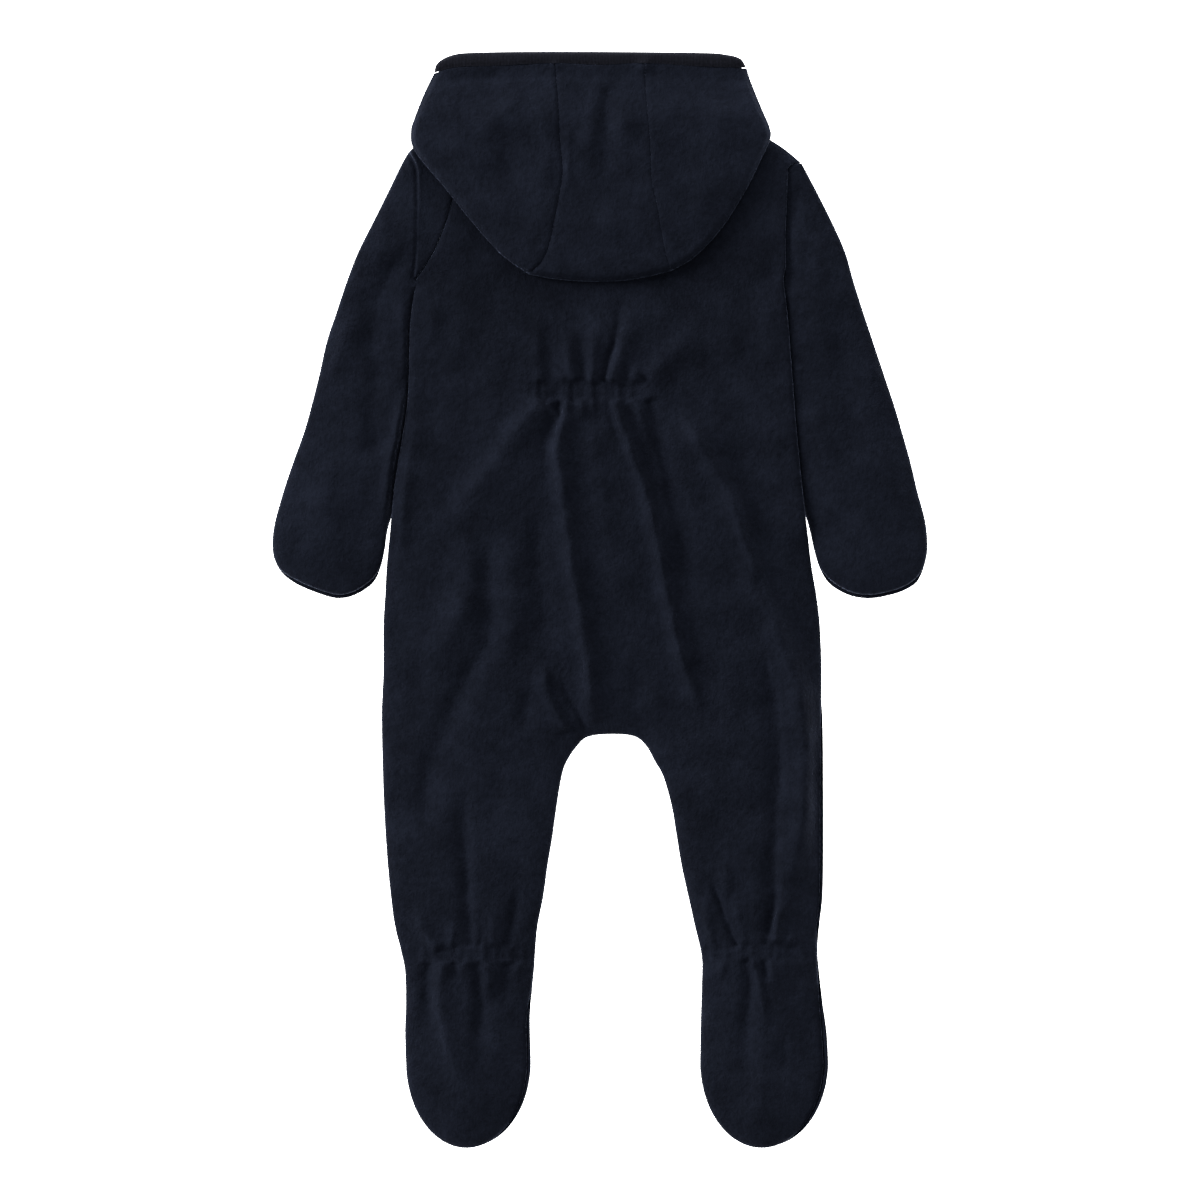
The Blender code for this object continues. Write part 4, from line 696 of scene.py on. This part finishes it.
def sleeve_tops(side):
    """Functions for the two faces of a sleeve's upper layer."""
    folds = RIGHT_SLEEVE_FOLDS if side > 0 else LEFT_SLEEVE_FOLDS
    from_edge = measure(sleeve_edge(side))
    body_side = side_line(side)

    def top(x, y):
        d = from_edge(x, y)
        # How far past the body's side; under it the sleeve is pressed flat.
        beyond = np.where(y < UNDERARM[1], along(body_side, x, y)[0] * side, 99.0)
        if side > 0:
            free = ease((beyond + 1.8) / 3.2)
        else:
            free = ease((beyond + 1.2) / (3.2 + 2.4 * ease((126 - y) / 26)))
        folded = relief(folds, x, y) + 0.8 * handled(x, y, 20 + side)
        folded = folded * ease(d / 5) * ease(beyond / 3.5)
        rise = (SLEEVE_PUFF * (1 - np.exp(-d / SLEEVE_PUFF_REACH)) + 0.8 * bend(d)) * free
        z = soft_floor(PAIR + SEAM + rise + folded, PAIR - 0.1, 0.15)
        if side > 0:
            closed = (FOLD_TOP - WALL + 0.6 - FOLD_FOOT) * ease((y - FOLD_CLOSED_Y) / 12)
            return drawn_to(side, FOLD_FOOT + closed, x, y, z)
        z = folded_over(x, y, z) - seam_dip(from_armholes[side](x, y))
        return z + (pressed(z, y) - z) * ease((x + 112) / 7)

    def under(x, y):
        return np.maximum(top(x, y) - WALL, LAYER)

    return top, under


def hood_edge_top(y):
    return HOOD_EDGE + (HOOD_BRIM - HOOD_EDGE) * ease((y - 284) / 36)


def hood_form(x, y, d):
    """Height of the hood without its folds, at a distance d from the folded edge."""
    drop = HOOD_DROP * (ease(d / HOOD_DROP_REACH) - 1)
    return hood_edge_top(y) + drop + HOOD_PUFF * (1 - np.exp(-d / HOOD_PUFF_REACH))


def knobs(x, y):
    """Where the hood's thick seams run under the strip."""
    return sum(height * bell(np.hypot(x - kx, y - ky), radius)
               for kx, ky, height, radius in KNOBS)


def hood_top(x, y):
    d = from_hood_edge(x, y)
    z = hood_form(x, y, d)
    z = z + (relief(HOOD_FOLDS, x, y) + 0.7 * handled(x, y, 40)) * ease(d / 8)
    for from_seam, depth in zip(from_hood_seams, HOOD_SEAM_DIPS):
        z = z - depth * bell(from_seam(x, y), HOOD_SEAM_REACH)
    below_strip = np.maximum(from_brow(x, y) - STRIP_WIDTH, 0)
    return z + knobs(x, y) - BROW_ROLL * bell(below_strip, 2.4)


def hood_panel_under(x, y):
    """The panel's underside; along the folded edge the cloth turns under."""
    d = from_hood_edge(x, y)
    top = hood_top(x, y)
    low = np.minimum(HOOD_FLOOR + 0.3, top - WALL)
    low = np.minimum(low, hood_edge_top(y) - 5.4)
    return low + (top - WALL - low) * ease((d - HOOD_TURN) / 0.5)


def strip_top(x, y):
    across = np.clip(from_brow(x, y) / STRIP_WIDTH, 0, 1)
    z = hood_form(x, y, from_hood_edge(x, y))
    ribs = 0.16 * np.sin(2 * math.pi * x / STRIP_RIB)
    outer = np.maximum(2 * across - 1, 0)
    return z + STRIP_PROUD - STRIP_ROUND * outer ** 2 + ribs + knobs(x, y)


# ---- meshes ---------------------------------------------------------------------------------

def make_object(name, verts, faces, material):
    mesh = bpy.data.meshes.new(name)
    mesh.from_pydata((np.asarray(verts) * MM).tolist(), [], faces)
    mesh.materials.append(material)
    mesh.shade_smooth()
    obj = bpy.data.objects.new(name, mesh)
    bpy.context.scene.collection.objects.link(obj)
    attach(obj, "root")
    return obj


def grid(loop, from_edge, rows, step, creases=()):
    """Points inside an outline: rows beside the edge and the creases, then an even field."""
    spots = []
    for shift in rows:
        both = [around(loop, sign * shift) for sign in (-1, 1)]
        row = both[0] if inside(loop, *both[0].T).mean() > 0.5 else both[1]
        row = row[inside(loop, *row.T)]
        spots.append(row[from_edge(*row.T) > 0.86 * shift])
    low, high = loop.min(axis=0), loop.max(axis=0)
    ys = np.arange(low[1], high[1], step * 0.866)
    field = []
    for k, y in enumerate(ys):
        xs = np.arange(low[0] + (k % 2) * step / 2, high[0], step)
        field.append(np.c_[xs, np.full(len(xs), y)])
    field = np.vstack(field)
    field = field[inside(loop, *field.T)]
    spots.append(field[from_edge(*field.T) > rows[-1] + 0.55 * step])
    for crease in creases:
        near = np.vstack([beside(crease, shift) for shift in CREASE_ROWS])
        near = near[inside(loop, *near.T)]
        near = near[from_edge(*near.T) > 0.5]
        from_crease = measure(crease)
        clear = CREASE_ROWS[-1] + 0.5 * step
        spots = [row[from_crease(*row.T) > clear] for row in spots] + [near]
    return np.vstack(spots)


def cover(loop, spots):
    """Triangles that fill an outline; in their numbering its own points come first."""
    points = [Vector(p) for p in loop] + [Vector(p) for p in spots]
    _, _, triangles, sources, _, _ = delaunay_2d_cdt(
        points, [], [list(range(len(loop)))], 1, MERGE)
    number = [source[0] for source in sources]
    return [tuple(number[i] for i in t) for t in triangles]


def full_roll(x, y):
    return WALL / 2


def seam_roll(x, y):
    return SEAM_ROLL


def back_roll(x, y):
    """The left armhole seam is tighter than the back's other edges."""
    return SEAM_ROLL + (WALL / 2 - SEAM_ROLL) * ease((from_armholes[-1](x, y) - 2) / 2)


def front_roll(x, y):
    """The fronts are sewn together below the zip."""
    return np.where((np.abs(x - ZIP_X) < 2.6) & (y < ZIP_END), 0.2, full_roll(x, y))


def level_edge(x, y):
    return 0.0


def wall(loop, top, under, steps=(FINE, COARSE), rows=EDGE_ROWS, roll=full_roll, creases=(),
         edge=level_edge):
    """Points and faces of a closed wall with a rounded edge, between two height functions.

    roll gives the radius of the edge, and edge how far up the wall the two faces meet: 0 is
    halfway and 1 at the top.
    """
    from_edge = measure(np.vstack([loop, loop[:1]]))
    count = len(loop)
    faces = []
    high, low = top(*loop.T), under(*loop.T)
    verts = [np.c_[loop, (high + low) / 2 + edge(*loop.T) * (high - low) / 2]]
    base = count
    for is_top, step in zip((True, False), steps):
        spots = grid(loop, from_edge, rows, step, creases if is_top else ())
        x, y = spots.T
        high, low = top(x, y), under(x, y)
        share = rounded(from_edge(x, y) / roll(x, y))
        share = np.maximum(share, edge(x, y)) if is_top else -share
        verts.append(np.c_[spots, (high + low) / 2 + (high - low) / 2 * share])
        shift = base - count
        for t in cover(loop, spots):
            t = tuple(i if i < count else i + shift for i in t)
            faces.append(t if is_top else t[::-1])
        base += len(spots)
    return np.vstack(verts), faces


def joined(*parts):
    """Several meshes as one."""
    verts, faces, base = [], [], 0
    for points, triangles in parts:
        verts.append(points)
        faces += [tuple(i + base for i in t) for t in triangles]
        base += len(points)
    return np.vstack(verts), faces


# ---- materials ------------------------------------------------------------------------------

def put(node, inputs):
    """Set a node's inputs, or link those whose value is another node's output."""
    for name, value in inputs.items():
        if isinstance(value, bpy.types.NodeSocket):
            node.id_data.links.new(value, node.inputs[name])
        else:
            node.inputs[name].default_value = value


class Nodes:
    """Short names for the making of a node material."""

    def __init__(self, name):
        self.material = bpy.data.materials.new(name)
        self.material.use_nodes = True
        self.tree = self.material.node_tree
        self.place = self.node("TexCoord", {}).outputs["Object"]

    def node(self, kind, inputs, **settings):
        node = self.tree.nodes.new("ShaderNode" + kind)
        for name, value in settings.items():
            setattr(node, name, value)
        put(node, inputs)
        return node

    def surface(self, inputs):
        put(self.tree.nodes["Principled BSDF"], inputs)
        return self.material

    def noise(self, scale, detail, roughness, stretch=(1, 1, 1)):
        place = self.node("Mapping", {"Scale": stretch, "Vector": self.place})
        return self.node("TexNoise", {"Scale": scale, "Detail": detail, "Roughness": roughness,
                                      "Vector": place.outputs["Vector"]}).outputs["Fac"]

    def math(self, kind, a, b):
        return self.node("Math", {0: a, 1: b}, operation=kind).outputs[0]

    def mix(self, *parts):
        """The weighted sum of values."""
        total, *others = [self.math("MULTIPLY", value, weight) for value, weight in parts]
        for part in others:
            total = self.math("ADD", total, part)
        return total

    def ramp(self, value, stops):
        node = self.node("ValToRGB", {"Fac": value})
        while len(node.color_ramp.elements) < len(stops):
            node.color_ramp.elements.new(0.5)
        for element, (position, colour) in zip(node.color_ramp.elements, stops):
            element.position = position
            element.color = colour
        return node.outputs["Color"]

    def spot(self, x, y, radius, value):
        """A value that fades out to nothing at a distance from a place."""
        away = self.node("VectorMath", {0: self.place, 1: (x, y, 0)}, operation="DISTANCE")
        return self.node("MapRange", {"Value": away.outputs["Value"], "From Max": radius,
                                      "To Min": value, "To Max": 0.0},
                         interpolation_type="SMOOTHSTEP").outputs["Result"]

    def bump(self, height, distance, strength, **before):
        return self.node("Bump", {"Distance": distance, "Strength": strength, "Height": height,
                                  **before}).outputs["Normal"]


def shade(colour, factor):
    return tuple(c * factor for c in colour) + (1.0,)


NAVY = (0.0069, 0.0085, 0.0143)
HOOD_PAINTED_LIGHT = 1.08    # painted light: the hood is lit more, so its fleece is made lighter
# Soft places that are darker or lighter than the folds alone make them: painted shade and painted
# light, together with the nap's brushing down or up. x, y, radius, change of lightness.
BODY_NAP_AND_PAINTED_LIGHT = (
    (-58, 180, 75, -0.28), (72, 185, 80, -0.2), (64, -132, 50, -0.2), (74, -308, 45, -0.2),
    (-44, -130, 75, 0.26), (-44, -270, 50, 0.16), (-168, 55, 65, 0.24), (4, 140, 34, 0.3),
    (-34, 84, 50, 0.16), (0, -60, 40, 0.14), (-72, 30, 30, -0.12), (176, 20, 45, 0.12),
)
# the hood's soft places of painted light and shade, with the nap's brushing
HOOD_NAP_AND_PAINTED_LIGHT = (
    (102, 284, 46, 0.42), (-70, 305, 45, -0.16), (34, 275, 36, -0.14), (70, 316, 30, 0.16),
    (26, 318, 10, 1.2), (-26.5, 319, 6, 0.5),
)
STRIP_BLACK = (0.0068, 0.0072, 0.0108)


def fleece(name, lightness, nap_and_painted_light):
    """Brushed fleece, its nap in patches and streaks, with places of painted light and shade."""
    n = Nodes(name)
    patches = n.noise(60.0, 3.0, 0.55)
    streaks = n.noise(300.0, 3.0, 0.6, (1.25, 1.0, 1.2))
    grain = n.noise(900.0, 2.0, 0.6)
    mix = n.mix((patches, 0.42), (streaks, 0.36), (grain, 0.22))
    # add each soft place's painted light and shade, with the nap's brushing, to the mottling
    for x, y, radius, change in nap_and_painted_light:
        mix = n.math("ADD", mix, n.spot(x * MM, y * MM, radius * MM, 0.4 * change))
    colour = n.ramp(mix, [(0.34, shade(NAVY, 0.64 * lightness)), (0.5, shade(NAVY, lightness)),
                          (0.66, shade(NAVY, 1.44 * lightness))])
    coarse = n.bump(streaks, 0.0011, 0.7)
    return n.surface({
        "Base Color": colour, "Normal": n.bump(grain, 0.0006, 0.8, Normal=coarse),
        "Roughness": 0.92, "Specular IOR Level": 0.03, "Sheen Weight": 0.27,
        "Sheen Roughness": 0.25, "Sheen Tint": (0.55, 0.66, 1.0, 1.0),
    })


def knit():
    """The ribbed strip round the face opening."""
    n = Nodes("knit_black")
    fuzz = n.noise(900.0, 2.0, 0.6)
    ribs = n.noise(420.0, 2.0, 0.5, (3.0, 0.5, 0.5))
    mix = n.mix((fuzz, 0.5), (ribs, 0.5))
    colour = n.ramp(mix, [(0.35, shade(STRIP_BLACK, 0.65)), (0.65, shade(STRIP_BLACK, 1.4))])
    return n.surface({
        "Base Color": colour, "Normal": n.bump(mix, 0.0005, 0.8), "Roughness": 0.85,
        "Specular IOR Level": 0.05, "Sheen Weight": 0.05, "Sheen Tint": (0.7, 0.75, 1.0, 1.0),
    })


def zip_plastic():
    n = Nodes("zip_navy")
    speck = n.noise(1500.0, 2.0, 0.5)
    colour = n.ramp(speck, [(0.3, (0.009, 0.011, 0.018, 1)), (0.7, (0.014, 0.017, 0.027, 1))])
    return n.surface({"Base Color": colour, "Normal": n.bump(speck, 0.0001, 0.4),
                      "Roughness": 0.45})


# ---- the pieces -----------------------------------------------------------------------------

def make_back(material):
    parts = wall(BODY_LOOP, body_top, body_under, roll=back_roll)
    obj = make_object("back_cloth", *parts, material)
    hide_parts("back")


def make_front(side, material):
    name = "front_right" if side > 0 else "front_left"

    def under(x, y):
        past = from_body_edge(x, y) * ~inside(BODY_LOOP, x, y) * (y < PEEK_TOP_Y)
        lift = FRONT_LIFT * LIFT * over_sleeve(x, y, 27, 16)
        return lift + PEEK_RISE * ease((past - 0.1) / 1.4)

    parts = wall(front_loop(side), lambda x, y: WALL + under(x, y), under, (PLAIN, PLAIN),
                 FRONT_ROWS, front_roll)
    obj = make_object(name + "_cloth", *parts, material)
    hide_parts(name)


def make_sleeve(side, material):
    name = "sleeve_right" if side > 0 else "sleeve_left"
    hole = ARMHOLE_RIGHT if side > 0 else ARMHOLE_LEFT
    edge = sleeve_edge(side)
    top, under = sleeve_tops(side)
    far, along_edge = np.abs(edge[:, 0]), edge[:, 1]
    inward = beside(edge, 1) - edge
    if inside(np.vstack([edge, hole[-2:0:-1]]), *beside(edge, -1)[40][:, None])[0]:
        inward = -inward
    lip = MITT_LIP * ease((MITT_Y - along_edge) / 14)
    upper_edge = even(edge + inward * lip[:, None], OUTLINE)
    body_side = side_line(side)
    body_side = body_side[(body_side[:, 1] < 176) & (body_side[:, 1] > 34)]
    creases = (even(body_side, OUTLINE),)
    if side < 0:
        creases = (LEFT_CREASE_LINE,) + creases
    upper = wall(np.vstack([upper_edge, hole[-2:0:-1]]), top, under,
                 roll=back_roll if side < 0 else full_roll, creases=creases)

    # The lower layer is drawn in, but not at the mitten, where it shows, nor at the underarm.
    above_mitt = ease((along_edge - MITT_Y) / 14)
    drawn_in = np.maximum(ease((UNDERARM[1] - 3 - along_edge) / 8), ease((far - 113) / 4))
    low_edge = edge + inward * (LOWER_INSET * above_mitt * drawn_in)[:, None]
    corner = (far < 112) & (along_edge < UNDERARM[1] + 1)
    low_edge[:, 0] -= side * corner * 1.4 * ease((along_edge - 188) / 4)
    low_hole = beside(hole, -side * HIDDEN_SHIFT)
    lower = wall(np.vstack([low_edge[:-1], low_hole[-2:0:-1]]), lambda x, y: np.full_like(x, WALL),
                 lambda x, y: np.zeros_like(x), (COARSE, PLAIN))
    obj = make_object(name + "_cloth", *joined(upper, lower), material)
    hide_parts(name)


def make_hood(material):
    brow, crown = outline(HOOD_BROW), outline(HOOD_CROWN)
    seam_left, seam_right = outline(HOOD_SEAM_LEFT), outline(HOOD_SEAM_RIGHT)
    left_edge, right_edge = outline(HOOD_LEFT_EDGE), outline(HOOD_RIGHT_EDGE)
    half, tight = HOOD_SLITS
    first, second = HOOD_SEAM_LEFT[0][0], HOOD_SEAM_RIGHT[0][0]
    room = OUTLINE / 2
    brow_left = brow[brow[:, 0] < first - room][1:]
    brow_middle = brow[(brow[:, 0] > first + room) & (brow[:, 0] < second - room)]
    brow_right = brow[brow[:, 0] > second + room][:-1]
    for name, loop, flat, area in (
        ("hood_left", (left_edge[-2::-1], brow_left, beside(seam_left, -half)),
         (0.091, 0.127), 0.0083),
        ("hood_centre", (beside(seam_left, half), crown[1:-1],
                         beside(seam_right, -tight)[::-1], brow_middle[::-1]),
         (0.086, 0.131), 0.0078),
        ("hood_right", (right_edge[:-1], beside(seam_right, tight)[::-1], brow_right),
         (0.075, 0.125), 0.0067),
    ):
        obj = make_object(name + "_cloth", *hood_wall(np.vstack(loop)), material)
        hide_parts(name)


def hood_seam_edge(x, y):
    """At the hood's seams the panels meet near their tops."""
    seam = np.minimum(from_hood_seams[0](x, y) * 1.6, from_hood_seams[1](x, y))
    seam = np.minimum(seam, from_brow(x, y))
    return 0.8 * (1 - ease((seam - 0.6) / 0.6)) * ease((from_hood_edge(x, y) - 1) / 4)


def hood_roll(x, y):
    return rounded(from_hood_edge(x, y) / HOOD_ROLL)


def hood_wall(loop):
    """A hood panel: rounded far over at the folded edge, a little at its seams."""
    def top(x, y):
        high, low, share = hood_top(x, y), hood_panel_under(x, y), hood_roll(x, y)
        return (high + low) / 2 + (high - low) / 2 * share

    def under(x, y):
        high, low, share = hood_top(x, y), hood_panel_under(x, y), hood_roll(x, y)
        turned = (high + low) / 2 - (high - low) / 2 * share
        return np.where(from_hood_edge(x, y) < HOOD_TURN, turned, low)

    return wall(loop, top, under, (FINE, COARSE), HOOD_ROWS, seam_roll, edge=hood_seam_edge)


def shoulder_line():
    return curve(LEFT_OUTER[6::-1] + NECK_LINE + RIGHT_SHOULDER + RIGHT_OUTER[1:3], CURVE_STEP)


def make_hood_under(material):
    """The hood's hidden layers."""
    edge = np.vstack([HOOD_FOLDED_EDGE, outline(STRIP_TOP)[-2:0:-1]])
    loop = around(edge, HOOD_INSET + 0.3)
    line = shoulder_line()

    def top(x, y):
        low = hood_form(x, y, from_hood_edge(x, y)) - LAYER - HIDDEN_ROOM
        return low + (UNDER_STRIP - low) * ease((y - 304) / 8) * (low > UNDER_STRIP)

    def bottom(x, y):
        past = along(line, x, y)[0]
        return HOOD_FLOOR * (1 - ease((past - NECK_STEP) / 1.2))

    obj = make_object("hood_under_cloth", *wall(loop, top, bottom, (COARSE, FINE)), material)
    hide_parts("hood_under")


def make_strip(material):
    low = curve(HOOD_BROW, 0.6) + (0, SEAM)
    high = curve(STRIP_TOP, 0.6)
    parts = wall(np.vstack([low[1:-1], high[::-1]]), strip_top,
                 lambda x, y: strip_top(x, y) - STRIP_THICKNESS, (0.8, 1.6), (0.3, 0.8, 1.5),
                 lambda x, y: STRIP_THICKNESS / 2,
                 edge=lambda x, y: 0.85 * (1 - ease((from_brow(x, y) - 0.8) / 1.0)))
    obj = make_object("hood_binding_knit", *parts, material)
    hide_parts("hood_binding")


def block(low, high):
    corners = [(x, y, z) for z in (low[2], high[2]) for x, y in
               ((low[0], low[1]), (high[0], low[1]), (high[0], high[1]), (low[0], high[1]))]
    faces = [(3, 2, 1, 0), (4, 5, 6, 7)]
    faces += [(k, (k + 1) % 4, (k + 1) % 4 + 4, k + 4) for k in range(4)]
    return np.array(corners, float), faces


def make_zip(material):
    """The closed zip, as a tape with teeth from both sides, and the slider at its top."""
    top = ZIP_TOP - SLIDER_LENGTH - SEAM
    parts = [block((ZIP_X - 4.2, ZIP_END + SEAM, 1.4), (ZIP_X + 4.2, top, 2.3))]
    for k, y in enumerate(np.arange(ZIP_END + TOOTH_PITCH, top - 1.2, TOOTH_PITCH)):
        x = ZIP_X + (TOOTH_SHIFT if k % 2 else -TOOTH_SHIFT)
        parts.append(block((x - 1.1, y - 0.6, 0.35), (x + 1.1, y + 0.6, 1.4)))
    obj = make_object("zip_chain", *joined(*parts), material)
    obj.data.shade_flat()
    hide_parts("zip")
    parts = [block((ZIP_X - 3.6, top + SEAM, 1.5), (ZIP_X + 3.6, ZIP_TOP, 2.5)),
             block((ZIP_X - 3.2, top + 1.2, 0.2), (ZIP_X + 3.2, ZIP_TOP - 0.8, 0.8)),
             block((ZIP_X - 0.8, top + 1.0, 0.8), (ZIP_X + 0.8, ZIP_TOP - 1.2, 1.5))]
    slider = make_object("zip_slider_body", *joined(*parts), material)
    bevel = slider.modifiers.new("bevel", "BEVEL")
    bevel.width = 0.0002
    bevel.segments = 2
    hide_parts("zip_slider")


def fibres(line, outward, height, rng, shorter=None):
    """Short fibres that stand out from an edge, one triangle each."""
    roots = even(line, NAP_STEP)
    normal = (beside(roots, 1) - roots) * outward
    count = len(roots)
    turn, lean = rng.uniform(-1.1, 1.1, count), rng.uniform(-0.3, 1.0, count)
    length = rng.uniform(*NAP_LENGTH, count)
    if shorter is not None:
        length *= shorter(*roots.T)
    across = np.c_[normal[:, 0] * np.cos(turn) - normal[:, 1] * np.sin(turn),
                   normal[:, 0] * np.sin(turn) + normal[:, 1] * np.cos(turn)]
    z = height(*roots.T) + rng.uniform(-0.9, 0.9, count)
    base = np.c_[roots - NAP_ROOT * normal, z]
    tip = base + np.c_[across * (length * np.cos(lean))[:, None], length * np.sin(lean)]
    half = NAP_WIDTH / 2 * np.c_[-across[:, 1], across[:, 0], np.zeros(count)]
    verts = np.stack([base - half, base + half, tip], axis=1).reshape(-1, 3)
    return verts, [(3 * k, 3 * k + 1, 3 * k + 2) for k in range(count)]


def peek_width(x, y):
    """How far the front shows past the back."""
    return np.where(x > 50, column(PEEKS, y, 1), column(PEEKS, y, 2))


def peek_sides(x):
    """Which points of the edge are on the right leg's outside, and on the left foot's inside."""
    return x > 110, np.abs(x + 42) < 6


def make_nap(material):
    """The nap that shows as fuzz along the edges of the cloth."""
    rng = np.random.default_rng(5)

    def middle(x, y):
        return body_top(x, y) - WALL / 2

    def beside_peek(x, y):
        outer, inner = peek_sides(x)
        hidden = (outer | inner) & (y < PEEKS[0][0])
        return 1 - 0.6 * hidden * ease(peek_width(x, y))

    parts = [fibres(BODY_EDGE, 1, middle, rng, beside_peek)]
    front = legs(front=True)
    shown = peek_width(*front.T)
    outer, inner = peek_sides(front[:, 0])
    for chosen in (outer & (shown > 0.5), inner & (front[:, 1] < -232) & (shown > 0.3)):
        parts.append(fibres(front[chosen], 1, lambda x, y: np.full_like(x, PEEK_RISE + WALL / 2),
                            rng))
    for side in (-1, 1):
        edge = sleeve_edge(side)
        top = sleeve_tops(side)[0]
        bare = along(side_line(side), *edge.T)[0] * side > 0
        bare |= (edge[:, 1] > UNDERARM[1]) | (edge[:, 1] < 66)
        parts.append(fibres(edge[bare], side, lambda x, y: top(x, y) - WALL / 2, rng))

    def fold_middle(x, y):
        return (hood_top(x, y) + hood_panel_under(x, y)) / 2

    parts.append(fibres(HOOD_FOLDED_EDGE, -1, fold_middle, rng))
    obj = make_object("fleece_nap", *joined(*parts), material)


# ---- stage ----------------------------------------------------------------------------------

FLOOR_HALF = 6.0         # metres, as the rest of the stage
FLOOR_Z = -0.0004
VIEW_WIDTH = 0.72
# Suns: name, strength, angle in degrees, direction towards the sun.
SUNS = (("key", 3.9, 26, (-0.86, 0.34, 0.36)), ("top", 1.7, 40, (0.10, 0.9, 0.30)))


def make_stage():
    mesh = bpy.data.meshes.new("floor")
    corners = ((-1, -1), (1, -1), (1, 1), (-1, 1))
    mesh.from_pydata([(FLOOR_HALF * x, FLOOR_HALF * y, FLOOR_Z) for x, y in corners], [],
                     [(0, 1, 2, 3)])
    floor = bpy.data.objects.new("floor", mesh)
    bpy.context.scene.collection.objects.link(floor)
    material = bpy.data.materials.new("floor_white")
    material.use_nodes = True
    put(material.node_tree.nodes["Principled BSDF"], {
        "Base Color": (0.9, 0.9, 0.9, 1), "Roughness": 0.9, "Specular IOR Level": 0.0,
        "Emission Color": (1, 1, 1, 1), "Emission Strength": 4.0,
    })
    mesh.materials.append(material)

    world = bpy.data.worlds.new("studio")
    world.use_nodes = True
    put(world.node_tree.nodes["Background"], {"Color": (1, 1, 1, 1), "Strength": 0.48})
    bpy.context.scene.world = world

    for name, energy, angle, direction in SUNS:
        light = bpy.data.lights.new(name, "SUN")
        light.energy = energy
        light.angle = math.radians(angle)
        lamp = bpy.data.objects.new(name, light)
        lamp.rotation_euler = Vector(direction).to_track_quat("Z", "Y").to_euler()
        bpy.context.scene.collection.objects.link(lamp)

    camera = bpy.data.cameras.new("camera")
    camera.type = "ORTHO"
    camera.ortho_scale = VIEW_WIDTH
    camera.clip_end = 20
    holder = bpy.data.objects.new("camera", camera)
    holder.location = (0, 0, 2.5)
    bpy.context.scene.collection.objects.link(holder)
    bpy.context.scene.camera = holder
    bpy.context.scene.view_settings.view_transform = "Standard"


make_stage()
# the body's fleece, with its soft places of painted shade and painted light
navy = fleece("fleece_navy", 1.0, BODY_NAP_AND_PAINTED_LIGHT)
make_back(navy)
make_front(-1, navy)
make_front(1, navy)
make_sleeve(-1, navy)
make_sleeve(1, navy)
# the hood's fleece: the body's fleece lightened with painted light
make_hood(fleece("fleece_navy_hood_painted_light", HOOD_PAINTED_LIGHT, HOOD_NAP_AND_PAINTED_LIGHT))
make_hood_under(navy)
make_strip(knit())
make_nap(navy)
make_zip(zip_plastic())
